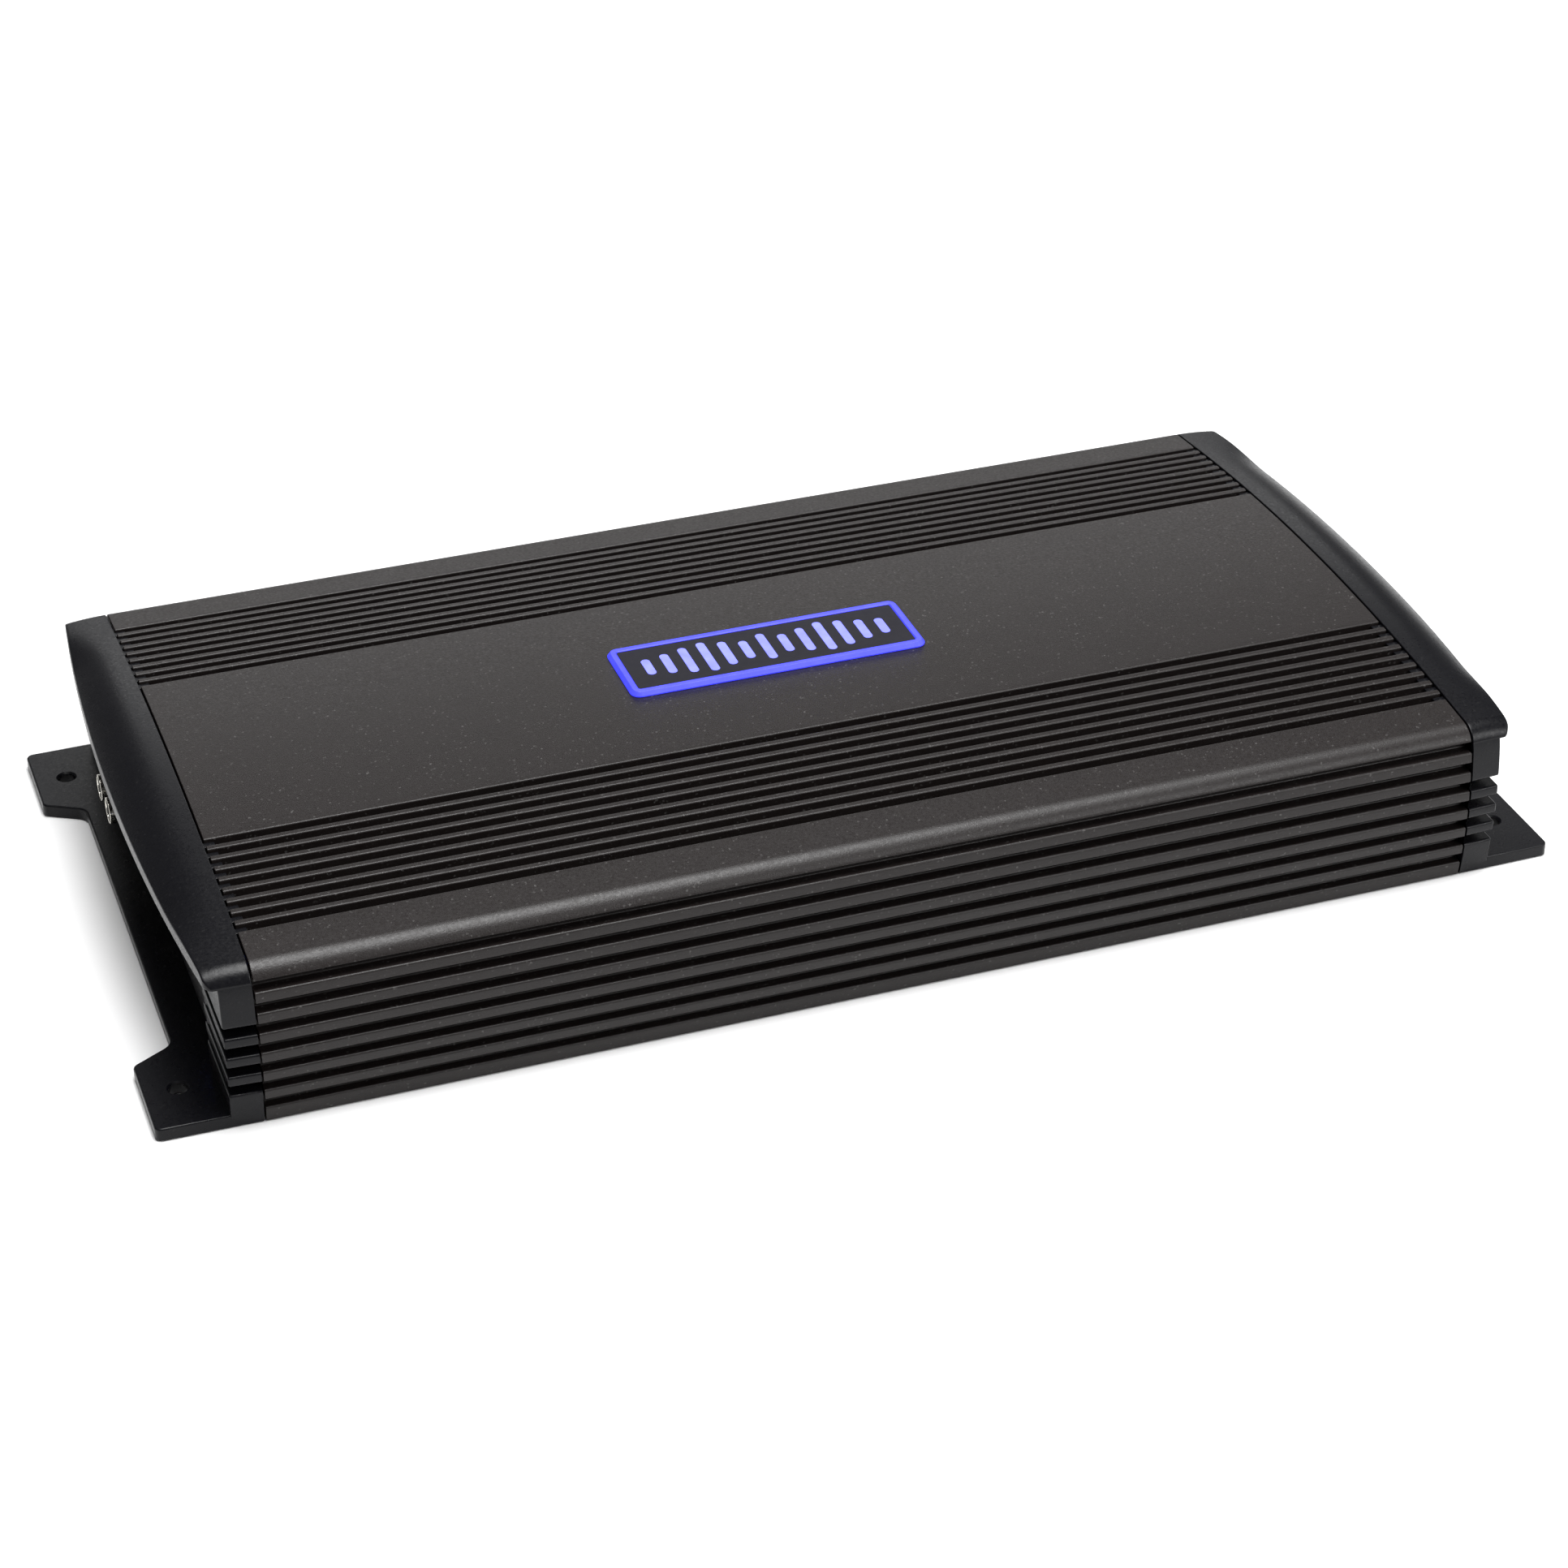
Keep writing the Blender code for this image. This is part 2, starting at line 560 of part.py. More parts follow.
def build_cap(name, side, mat):
    def span(near, far):
        ends = (side * (SEAM_X + near), side * (SEAM_X + far))
        return min(ends), max(ends)

    cap = build_visor(name, side)
    pieces = []
    for y_sign, tag in ((-1.0, "front"), (1.0, "back")):
        pieces.append(tapered_slab("%s_block_%s" % (name, tag), side, y_sign,
                                   BLOCK_BOTTOM_Z, VISOR_UNDER_Z + JOIN_IN, BAY_HALF, BLOCK_DEPTH))
        pieces.append(tapered_slab("%s_base_%s" % (name, tag), side, y_sign,
                                   0.0, BASE_BLOCK_TOP_Z, BAY_HALF, BLOCK_DEPTH))
        for i, top in enumerate(RIB_TOPS_Z):
            pieces.append(tapered_slab("%s_rib_%s_%d" % (name, tag, i), side, y_sign,
                                       top - RIB_THICK, top, BAY_HALF, BLOCK_DEPTH))
        core = (SIDE_Y - RIB_INSET, BAY_HALF - BAY_BACK_LUG)
        pieces.append(box("%s_core_%s" % (name, tag), span(SEAM_HALF_GAP, CORE_DEPTH),
                          tuple(sorted(y_sign * v for v in core)),
                          (FLANGE_THICK - JOIN_IN, VISOR_UNDER_Z + JOIN_IN)))
        wall = (BAY_HALF, BAY_HALF + BAY_WALL)
        pieces.append(box("%s_wall_%s" % (name, tag), span(SEAM_HALF_GAP, BLOCK_DEPTH - CAP_EDGE / 2.0),
                          tuple(sorted(y_sign * v for v in wall)),
                          (FLANGE_THICK - JOIN_IN, VISOR_UNDER_Z + JOIN_IN)))
    pieces.append(extrude("%s_foot" % name, flange_outline(side), "Z", 0.0, FLANGE_THICK))
    for index in range(TOP_GROOVE_COUNT):
        inner, outer = groove_y(index)
        middle = (inner + outer) / 2.0
        low = crown_z(middle) - TOP_GROOVE_DEPTH + FIT
        high = crown_z(outer) - FINGER_DROP
        for y_sign in (-1.0, 1.0):
            edges = (y_sign * (inner + FINGER_CLEARANCE), y_sign * (outer - FINGER_CLEARANCE))
            pieces.append(box("%s_finger_%d_%d" % (name, index, int(y_sign)),
                              span(-FINGER_LENGTH, JOIN_IN), tuple(sorted(edges)), (low, high)))
    join(cap, *pieces)
    pocket = box("%s_cut_pocket" % name, span(-CUT_OVER, VISOR_POCKET_DEPTH),
                 (-BAY_HALF + BAY_BACK_LUG, BAY_HALF - BAY_BACK_LUG),
                 (VISOR_UNDER_Z - CUT_OVER, VISOR_POCKET_TOP_Z))
    holes = [pocket]
    for y_sign in (-1.0, 1.0):
        centre = (side * (SEAM_X + TAB_HOLE_DEPTH_X), y_sign * TAB_HOLE_Y)
        holes.append(rod("%s_cut_hole_%d" % (name, int(y_sign)), TAB_HOLE_DIAMETER / 2.0, "Z",
                         centre, -CUT_OVER, FLANGE_THICK + CUT_OVER, 32))
        holes.append(rod("%s_cut_thread_%d" % (name, int(y_sign)), SCREW_TAP_RADIUS, "X",
                         (y_sign * PANEL_SCREW_Y, PANEL_SCREW_Z), *span(-CUT_OVER, BLOCK_DEPTH / 2.0), 16))
    cut(cap, *holes)
    return finish(cap, mat)


# ---- badge --------------------------------------------------------------------------
def rounded_rect(length, width, radius, steps=4):
    points = []
    for cx, cy, start in ((1, 1, 0.0), (-1, 1, 90.0), (-1, -1, 180.0), (1, -1, 270.0)):
        for i in range(steps + 1):
            angle = math.radians(start + 90.0 * i / steps)
            points.append((cx * (length / 2.0 - radius) + radius * math.cos(angle),
                           cy * (width / 2.0 - radius) + radius * math.sin(angle)))
    return points


def stacked(name, outlines, heights):
    """Closed solid through equally sized outlines at rising heights."""
    size = len(outlines[0])
    verts = [(x, y, z) for outline, z in zip(outlines, heights) for x, y in outline]
    faces = [tuple(range(size)), tuple(range((len(outlines) - 1) * size, len(outlines) * size))]
    for layer in range(len(outlines) - 1):
        for i in range(size):
            j = (i + 1) % size
            faces.append((layer * size + i, layer * size + j,
                          (layer + 1) * size + j, (layer + 1) * size + i))
    return solid(name, verts, faces)


def build_badge(frame_mat, insert_mat, board_mat):
    """Light frame seated in the panel window, with an insert on top and its lamp board below."""
    def centred_box(name, inset, low, high):
        half_x = BADGE_LENGTH / 2.0 - inset
        half_y = BADGE_WIDTH / 2.0 - inset
        return box(name, (-half_x, half_x), (-half_y, half_y), (low, high))

    seat = TOP_Z + SEAT_CLEARANCE
    foot_z = TOP_Z - BADGE_FOOT_DEPTH
    insert_top = TOP_Z + INSERT_RISE
    insert_low = insert_top - INSERT_THICK
    outer = rounded_rect(BADGE_LENGTH, BADGE_WIDTH, BADGE_CORNER)
    upper = rounded_rect(BADGE_LENGTH - 2 * BADGE_BEVEL, BADGE_WIDTH - 2 * BADGE_BEVEL,
                         BADGE_CORNER - BADGE_BEVEL)
    foot = rounded_rect(BADGE_LENGTH - 2 * BADGE_FOOT_INSET, BADGE_WIDTH - 2 * BADGE_FOOT_INSET,
                        BADGE_FOOT_CORNER)
    frame = stacked("badge_light_frame", [foot, foot, outer, outer, upper],
                    [foot_z, seat, seat, TOP_Z + BADGE_UPRIGHT, TOP_Z + BADGE_RISE])
    cut(frame,
        centred_box("cut_insert_seat", BADGE_BORDER, insert_low - SEAT_CLEARANCE, TOP_Z + CUT_OVER),
        centred_box("cut_light_well", BADGE_BORDER + LIGHT_WELL_INSET, foot_z - CUT_OVER, TOP_Z))
    finish(frame, frame_mat)
    finish(centred_box("badge_insert", BADGE_BORDER + SEAT_CLEARANCE, insert_low, insert_top), insert_mat)
    board_top = foot_z - FIT
    finish(centred_box("badge_led_board", BADGE_FOOT_INSET + SEAT_CLEARANCE,
                       board_top - LED_BOARD_THICK, board_top), board_mat)


# ---- left end -----------------------------------------------------------------------
def out_left(u):
    return -(SEAM_X + u)


def around(middle, half):
    return middle - half, middle + half


def build_control_panel(mats):
    panel = box("control_panel", (out_left(CONNECTOR_PANEL_OUT), out_left(CONNECTOR_PANEL_IN)),
                around(0.0, CONNECTOR_PANEL_HALF), (CONNECTOR_PANEL_BOTTOM_Z, CONNECTOR_PANEL_TOP_Z))
    through = (out_left(CONNECTOR_PANEL_OUT + CUT_OVER), out_left(CONNECTOR_PANEL_IN - CUT_OVER))
    rca_half = RCA_HOUSING_HALF + FIT
    holes = [
        box("cut_rca_window", through, (RCA_Y[1] - rca_half, RCA_Y[0] + rca_half),
            around(CONTROL_Z, rca_half)),
        box("cut_remote_window", through, around(REMOTE_Y, REMOTE_HALF + FIT),
            around(CONTROL_Z, REMOTE_HALF + FIT)),
        box("cut_switch_window", through,
            around(SWITCH_Y, SWITCH_TRAVEL / 2.0 + SLIDER_HALF_WIDTH + FIT),
            around(CONTROL_Z, SLIDER_HALF_HEIGHT + FIT)),
    ]
    for name, y in zip(KNOB_NAMES, KNOB_Y):
        holes.append(rod("cut_%s_hole" % name, KNOB_RADIUS + FIT, "X", (y, CONTROL_Z), *through))
    for i, y in enumerate(LED_Y):
        holes.append(rod("cut_led_hole_%d" % i, LED_RADIUS + SLEEVE_GAP, "X", (y, CONTROL_Z), *through, 20))
    for sign in (-1.0, 1.0):
        holes.append(rod("cut_left_screw_%d" % int(sign), SCREW_CLEAR_RADIUS, "X",
                         (sign * PANEL_SCREW_Y, PANEL_SCREW_Z), *through, 16))
    finish(cut(panel, *holes), mats["panel"])


def build_rca(mats):
    """Housing with two insulated cores; each plated sleeve sits in a ring-shaped seat."""
    face = out_left(RCA_FACE_OUT)
    seat_end = face + RCA_SLEEVE_SEAT
    back = out_left(PART_BACK)
    housing = box("rca_housing", (face, back), (RCA_Y[1] - RCA_HOUSING_HALF, RCA_Y[0] + RCA_HOUSING_HALF),
                  around(CONTROL_Z, RCA_HOUSING_HALF))
    foot = box("rca_foot", (out_left(0.0), back), (RCA_Y[1] - RCA_HOUSING_HALF, RCA_Y[0] + RCA_HOUSING_HALF),
               (PARTS_Z, CONTROL_Z))
    cores = [foot]
    wells = []
    for i, y in enumerate(RCA_Y):
        seat = [(RCA_SLEEVE_BORE - SLEEVE_GAP, face - CUT_OVER),
                (RCA_SLEEVE_RADIUS + SLEEVE_GAP, face - CUT_OVER),
                (RCA_SLEEVE_RADIUS + SLEEVE_GAP, seat_end + SLEEVE_GAP),
                (RCA_SLEEVE_BORE - SLEEVE_GAP, seat_end + SLEEVE_GAP)]
        wells.append(lathe("cut_sleeve_seat_%d" % i, seat, "X", (y, CONTROL_Z)))
        wells.append(rod("cut_pin_bore_%d" % i, RCA_PIN_BORE, "X", (y, CONTROL_Z),
                         out_left(RCA_SLEEVE_REACH + CUT_OVER), seat_end, 20))
        cores.append(rod("rca_core_%d" % i, RCA_CORE_RADIUS, "X", (y, CONTROL_Z),
                         out_left(RCA_SLEEVE_REACH - RCA_CORE_BACK), seat_end))
        ring = lathe("rca_sleeve_%s" % ("left", "right")[i],
                     [(RCA_SLEEVE_BORE, out_left(RCA_SLEEVE_REACH)),
                      (RCA_SLEEVE_RADIUS, out_left(RCA_SLEEVE_REACH)),
                      (RCA_SLEEVE_RADIUS, seat_end), (RCA_SLEEVE_BORE, seat_end)],
                     "X", (y, CONTROL_Z), 40)
        finish(ring, mats["nickel"], True)
    join(housing, *cores)
    finish(cut(housing, *wells), mats["plastic"])


def build_knobs(mats):
    tip = out_left(KNOB_REACH)
    for name, y in zip(KNOB_NAMES, KNOB_Y):
        pivot = (tip, y, CONTROL_Z)
        knob = rod("%s_knob" % name, KNOB_RADIUS, "X", (y, CONTROL_Z), tip, out_left(KNOB_BACK), 32, pivot)
        slot = box("cut_%s_slot" % name, (tip - CUT_OVER, tip + KNOB_SLOT_DEPTH),
                   around(y, KNOB_SLOT_HALF_WIDTH), around(CONTROL_Z, KNOB_SLOT_HALF_LENGTH))
        finish(cut(knob, slot), mats["knob"], True)
        body = box("%s_pot" % name, (out_left(KNOB_BACK - FIT), out_left(PART_BACK)), around(y, POT_HALF),
                   (PARTS_Z, POT_TOP_Z))
        finish(body, mats["plastic"])


def build_switch(mats):
    start = SWITCH_Y - SWITCH_TRAVEL / 2.0
    slider_in = CONNECTOR_PANEL_IN - CUT_OVER
    body = box("phase_switch_body", (out_left(CONNECTOR_PANEL_IN - FIT), out_left(PART_BACK)),
               around(SWITCH_Y, SWITCH_BODY_HALF), (PARTS_Z, CONTROL_Z + SWITCH_BODY_HALF_HEIGHT))
    track = box("cut_switch_track", (out_left(CONNECTOR_PANEL_OUT), out_left(slider_in - FIT)),
                around(SWITCH_Y, SWITCH_TRAVEL / 2.0 + SLIDER_HALF_WIDTH + FIT),
                around(CONTROL_Z, SLIDER_HALF_HEIGHT + FIT))
    finish(cut(body, track), mats["plastic"])
    slider = box("phase_switch_slider", (out_left(SLIDER_OUT), out_left(slider_in)),
                 around(start, SLIDER_HALF_WIDTH), around(CONTROL_Z, SLIDER_HALF_HEIGHT),
                 (out_left(CONNECTOR_PANEL_OUT), start, CONTROL_Z))
    finish(slider, mats["knob"])


def build_remote_and_leds(mats):
    face, back = out_left(RCA_FACE_OUT), out_left(PART_BACK)
    port = box("remote_port", (face, back), around(REMOTE_Y, REMOTE_HALF), around(CONTROL_Z, REMOTE_HALF))
    foot = box("remote_port_foot", (out_left(0.0), back), around(REMOTE_Y, REMOTE_HALF), (PARTS_Z, CONTROL_Z))
    socket = box("cut_remote_socket", (face - CUT_OVER, out_left(REMOTE_SOCKET_IN)),
                 around(REMOTE_Y, REMOTE_SOCKET_HALF_WIDTH),
                 around(CONTROL_Z, REMOTE_SOCKET_HALF_HEIGHT))
    finish(cut(join(port, foot), socket), mats["plastic"])
    lamps = (("power_led", LED_Y[0], mats["led_blue"]), ("protect_led", LED_Y[1], mats["led_red"]))
    for name, y, mat in lamps:
        lens = rod(name, LED_RADIUS, "X", (y, CONTROL_Z), out_left(LED_OUT), out_left(LED_IN), 20)
        post = box("%s_leads" % name, (out_left(LED_POST[1]), out_left(LED_POST[0])),
                   around(y, LED_RADIUS / 2.0), (PARTS_Z, CONTROL_Z))
        finish(join(lens, post), mat, True)


# ---- right end ----------------------------------------------------------------------
def block_span(ys):
    return ys[0] - POWER_PITCH / 2.0, ys[-1] + POWER_PITCH / 2.0


def fuse_span():
    edge = FUSE_HALF_WIDTH + FUSE_MARGIN
    return FUSE_Y[0] - edge, FUSE_Y[1] + edge


def build_power_panel(mats):
    inside, outside = SEAM_X + CONNECTOR_PANEL_IN, SEAM_X + CONNECTOR_PANEL_OUT
    panel = box("power_panel", (inside, outside), around(0.0, CONNECTOR_PANEL_HALF),
                (CONNECTOR_PANEL_BOTTOM_Z, CONNECTOR_PANEL_TOP_Z))
    reach = (inside - CUT_OVER, outside + CUT_OVER)
    holes = []
    windows = (("power", block_span(POWER_Y), TERMINAL_TOP_Z),
               ("speaker", block_span(SPEAKER_Y), TERMINAL_TOP_Z),
               ("fuse", fuse_span(), FUSE_HOLDER_TOP_Z))
    for tag, (low, high), top in windows:
        holes.append(box("cut_%s_window" % tag, reach, (low - FIT, high + FIT),
                         (TERMINAL_BOTTOM_Z - FIT, top + FIT)))
    for sign in (-1.0, 1.0):
        holes.append(rod("cut_right_screw_%d" % int(sign), SCREW_CLEAR_RADIUS, "X",
                         (sign * PANEL_SCREW_Y, PANEL_SCREW_Z), *reach, 16))
    finish(cut(panel, *holes), mats["panel"])


def board_relief(name, low, high):
    """Cutter that lets a block stand on the board with its inner part."""
    return box(name, (SEAM_X + PART_BACK - CUT_OVER, SEAM_X), (low - CUT_OVER, high + CUT_OVER),
               (TERMINAL_BOTTOM_Z - CUT_OVER, PARTS_Z))


def build_terminals(tag, names, ys, mats):
    tip = SEAM_X + TERMINAL_REACH
    low, high = block_span(ys)
    block = box("%s_terminal_block" % tag, (SEAM_X + PART_BACK, tip), (low, high),
                (TERMINAL_BOTTOM_Z, TERMINAL_TOP_Z))
    tools = [board_relief("cut_%s_board_relief" % tag, low, high)]
    for i, y in enumerate(ys):
        tools.append(rod("cut_%s_wire_%d" % (tag, i), WIRE_HOLE_RADIUS, "X", (y, WIRE_HOLE_Z),
                         SEAM_X + WIRE_HOLE_IN, tip + CUT_OVER, 28))
        tools.append(rod("cut_%s_screw_bore_%d" % (tag, i), SET_SCREW_RADIUS + FIT, "Z",
                         (SEAM_X + SET_SCREW_OUT, y), WIRE_HOLE_Z, TERMINAL_TOP_Z + CUT_OVER, 28))
    finish(cut(block, *tools), mats["terminal"])
    for name, y in zip(names, ys):
        centre = (SEAM_X + SET_SCREW_OUT, y)
        screw = rod("%s_set_screw" % name, SET_SCREW_RADIUS, "Z", centre,
                    SET_SCREW_BOTTOM_Z, SET_SCREW_TOP_Z, 28, (*centre, SET_SCREW_TOP_Z))
        hexagon = rod("cut_%s_hex" % name, HEX_RADIUS, "Z", centre, SET_SCREW_TOP_Z - HEX_DEPTH,
                      SET_SCREW_TOP_Z + CUT_OVER, 6)
        finish(cut(screw, hexagon), mats["nickel"], True)


def build_fuses(mats):
    low, high = fuse_span()
    face = SEAM_X + FUSE_HOLDER_OUT
    holder = box("fuse_holder", (SEAM_X + PART_BACK, face), (low, high), (TERMINAL_BOTTOM_Z, FUSE_HOLDER_TOP_Z))
    tools = [board_relief("cut_fuse_board_relief", low, high)]
    root = face - FUSE_SEAT + FIT
    for i, y in enumerate(FUSE_Y):
        tools.append(box("cut_fuse_seat_%d" % i, (face - FUSE_SEAT, face + CUT_OVER),
                         around(y, FUSE_HALF_WIDTH + FIT), around(FUSE_Z, FUSE_HALF_HEIGHT + FIT)))
        fuse = box("fuse_%s" % "ab"[i], (root, face + FUSE_STANDS_OUT), around(y, FUSE_HALF_WIDTH),
                   around(FUSE_Z, FUSE_HALF_HEIGHT), (face, y, FUSE_Z))
        blades = []
        for sign in (-1.0, 1.0):
            blade_y = y + sign * BLADE_OFFSET
            blades.append(box("fuse_blade_%d_%d" % (i, int(sign)), (root - BLADE_LENGTH, face),
                              around(blade_y, BLADE_HALF_WIDTH), around(FUSE_Z, BLADE_HALF_THICK)))
            tools.append(box("cut_blade_slot_%d_%d" % (i, int(sign)), (root - BLADE_LENGTH - FIT, face),
                             around(blade_y, BLADE_HALF_WIDTH + BLADE_GAP),
                             around(FUSE_Z, BLADE_HALF_THICK + BLADE_GAP)))
        finish(join(fuse, *blades), mats["fuse_" + "ab"[i]])
    finish(cut(holder, *tools), mats["terminal"])


# ---- power stage --------------------------------------------------------------------
def build_transistor(name, sign, x, mat):
    """Flat package against the side wall, with three leads down to the board."""
    wall = INNER_HALF_WIDTH - FIT
    lead_y = wall - TRANSISTOR_THICK / 2.0
    body = box(name, around(x, TRANSISTOR_HALF), tuple(sorted((sign * wall, sign * (wall - TRANSISTOR_THICK)))),
               TRANSISTOR_Z)
    leads = []
    for k in (-1, 0, 1):
        leads.append(box("%s_lead_%d" % (name, k), around(x + LEAD_PITCH * k, LEAD_HALF),
                         around(sign * lead_y, LEAD_THICK / 2.0), (PARTS_Z, TRANSISTOR_Z[0] + LEAD_HALF)))
    finish(join(body, *leads), mat)


def build_power_stage(mats):
    board = box("main_board", around(0.0, BOARD_HALF_LENGTH), around(0.0, BOARD_HALF_WIDTH),
                (BOARD_BOTTOM_Z, BOARD_TOP_Z))
    finish(board, mats["board"])
    for name, x, y, radius in TOROIDS:
        inner = radius * TOROID_BORE
        low, high = PARTS_Z, PARTS_Z + TOROID_HEIGHT
        ease = TOROID_ROUND * 0.6
        profile = [(inner, low + TOROID_ROUND), (inner + ease, low), (radius - ease, low),
                   (radius, low + TOROID_ROUND), (radius, high - TOROID_ROUND), (radius - ease, high),
                   (inner + ease, high), (inner, high - TOROID_ROUND)]
        finish(lathe(name, profile, "Z", (x, y), 36), mats["copper"], True)
    for name, x, y, radius in CAPACITORS:
        can = rod(name, radius, "Z", (x, y), PARTS_Z, PARTS_Z + CAPACITOR_HEIGHT, 36)
        finish(can, mats["sleeve"], True)
    for sign, tag in ((-1.0, "front"), (1.0, "back")):
        for i, x in enumerate(TRANSISTOR_X):
            build_transistor("transistor_%s_%d" % (tag, i + 1), sign, x, mats["epoxy"])
        inside = INNER_HALF_WIDTH - 2 * FIT - TRANSISTOR_THICK
        bar = box("clamp_bar_%s" % tag, CLAMP_X, tuple(sorted((sign * inside, sign * (inside - CLAMP_THICK)))),
                  CLAMP_Z)
        finish(bar, mats["steel"])


# ---- fasteners ----------------------------------------------------------------------
def build_screws(mats):
    for i, (x, y) in enumerate(BOTTOM_SCREWS):
        head = rod("bottom_screw_%d" % (i + 1), SCREW_HEAD_RADIUS, "Z", (x, y),
                   BOTTOM_HEAD_LOW_Z, PLATE_BOTTOM_Z - SEAT_CLEARANCE, 24)
        shank = rod("bottom_shank_%d" % (i + 1), SCREW_SHANK_RADIUS, "Z", (x, y),
                    BOTTOM_DRIVE_TOP_Z, FLOOR_LEDGE_TOP_Z - FIT, 16)
        socket = rod("cut_bottom_drive_%d" % (i + 1), SCREW_DRIVE_RADIUS, "Z", (x, y),
                     -CUT_OVER, BOTTOM_DRIVE_TOP_Z, 6)
        finish(cut(join(head, shank), socket), mats["screw"], True)
    for side, tag in ((-1.0, "left"), (1.0, "right")):
        for y_sign, place in ((-1.0, "front"), (1.0, "back")):
            name = "panel_screw_%s_%s" % (tag, place)
            centre = (y_sign * PANEL_SCREW_Y, PANEL_SCREW_Z)
            seat = side * (SEAM_X + CONNECTOR_PANEL_OUT + SEAT_CLEARANCE)
            head_end = side * (SEAM_X + PANEL_HEAD_OUT)
            drive_in = side * (SEAM_X + PANEL_DRIVE_OUT)
            head = rod(name, SCREW_HEAD_RADIUS, "X", centre, seat, head_end, 24)
            shank = rod(name + "_shank", SCREW_SHANK_RADIUS, "X", centre,
                        side * (SEAM_X + SEAM_HALF_GAP + FIT), drive_in, 16)
            drive = rod("cut_" + name, SCREW_DRIVE_RADIUS, "X", centre, drive_in,
                        head_end + side * CUT_OVER, 6)
            finish(cut(join(head, shank), drive), mats["screw"], True)


def main():
    for obj in list(bpy.data.objects):
        bpy.data.objects.remove(obj, do_unlink=True)
    mats = {
        "extrusion": material("black_powder_coat", (0.035, 0.033, 0.033), 0.0, 0.42),
        "casting": material("black_satin_casting", (0.022, 0.022, 0.025), 0.0, 0.38),
        "plate": material("black_sheet_steel", (0.03, 0.03, 0.03), 0.3, 0.5),
        "panel": material("black_panel", (0.02, 0.02, 0.022), 0.0, 0.5),
        "light": material("blue_light_frame", (0.12, 0.12, 0.9), 0.0, 0.3, (0.1, 0.1, 1.0)),
        "insert": material("dark_insert", (0.02, 0.02, 0.022), 0.0, 0.25),
        "led_board": material("led_board_white", (0.75, 0.75, 0.72), 0.0, 0.5),
        "board": material("board_green", (0.02, 0.12, 0.05), 0.0, 0.45),
        "nickel": material("bright_nickel", (0.75, 0.73, 0.68), 1.0, 0.2),
        "plastic": material("black_moulded_plastic", (0.025, 0.025, 0.025), 0.0, 0.45),
        "knob": material("grey_knob_plastic", (0.12, 0.12, 0.12), 0.0, 0.5),
        "terminal": material("terminal_plastic", (0.03, 0.03, 0.032), 0.0, 0.4),
        "led_blue": material("blue_lens", (0.05, 0.1, 0.8), 0.0, 0.2, (0.05, 0.1, 1.0)),
        "led_red": material("red_lens", (0.5, 0.02, 0.02), 0.0, 0.2),
        "fuse_a": material("fuse_amber_a", (0.8, 0.35, 0.05), 0.0, 0.25),
        "fuse_b": material("fuse_amber_b", (0.8, 0.35, 0.05), 0.0, 0.25),
        "copper": material("copper_winding", (0.72, 0.3, 0.12), 0.9, 0.35),
        "sleeve": material("capacitor_sleeve", (0.02, 0.03, 0.08), 0.0, 0.35),
        "epoxy": material("black_epoxy", (0.02, 0.02, 0.02), 0.0, 0.5),
        "steel": material("plated_steel", (0.55, 0.55, 0.53), 1.0, 0.35),
        "screw": material("black_oxide_screw", (0.05, 0.05, 0.05), 0.8, 0.4),
    }
    build_heatsink(mats["extrusion"])
    build_bottom_plate(mats["plate"])
    build_cap("left_end_cap", -1.0, mats["casting"])
    build_cap("right_end_cap", 1.0, mats["casting"])
    build_badge(mats["light"], mats["insert"], mats["led_board"])
    build_control_panel(mats)
    build_rca(mats)
    build_knobs(mats)
    build_switch(mats)
    build_remote_and_leds(mats)
    build_power_panel(mats)
    build_terminals("power", ("battery", "remote", "ground"), POWER_Y, mats)
    build_terminals("speaker", ("speaker_plus", "speaker_minus"), SPEAKER_Y, mats)
    build_fuses(mats)
    build_power_stage(mats)
    build_screws(mats)


main()
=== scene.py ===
"""Looks of the car amplifier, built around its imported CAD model.

Lengths are in millimetres and multiplied by MM where geometry is made. X runs along the
length, Y to the back and Z up, as in the model.
"""
import json
import math

import bmesh
import bpy
from mathutils import Matrix, Vector


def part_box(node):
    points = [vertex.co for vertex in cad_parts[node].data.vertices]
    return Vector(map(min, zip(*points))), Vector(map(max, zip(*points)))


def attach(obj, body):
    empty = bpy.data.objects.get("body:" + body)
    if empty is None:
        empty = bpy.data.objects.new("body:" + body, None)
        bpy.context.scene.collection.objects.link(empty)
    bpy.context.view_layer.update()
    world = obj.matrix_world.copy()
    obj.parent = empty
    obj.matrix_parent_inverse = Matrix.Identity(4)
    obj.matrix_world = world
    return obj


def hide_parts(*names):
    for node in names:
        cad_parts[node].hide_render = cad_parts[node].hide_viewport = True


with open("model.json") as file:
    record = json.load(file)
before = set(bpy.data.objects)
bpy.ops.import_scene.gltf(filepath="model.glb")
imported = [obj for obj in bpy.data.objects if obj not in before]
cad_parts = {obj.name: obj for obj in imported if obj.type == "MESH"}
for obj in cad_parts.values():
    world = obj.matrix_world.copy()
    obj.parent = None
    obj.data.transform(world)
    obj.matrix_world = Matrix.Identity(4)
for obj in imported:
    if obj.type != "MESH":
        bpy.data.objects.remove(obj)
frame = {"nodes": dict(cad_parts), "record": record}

MM = 0.001
SHARP_ANGLE = math.radians(32.0)
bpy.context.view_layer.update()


def node_mm(node):
    """Lowest and highest corner of a CAD node, in millimetres."""
    low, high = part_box(node)
    return low / MM, high / MM


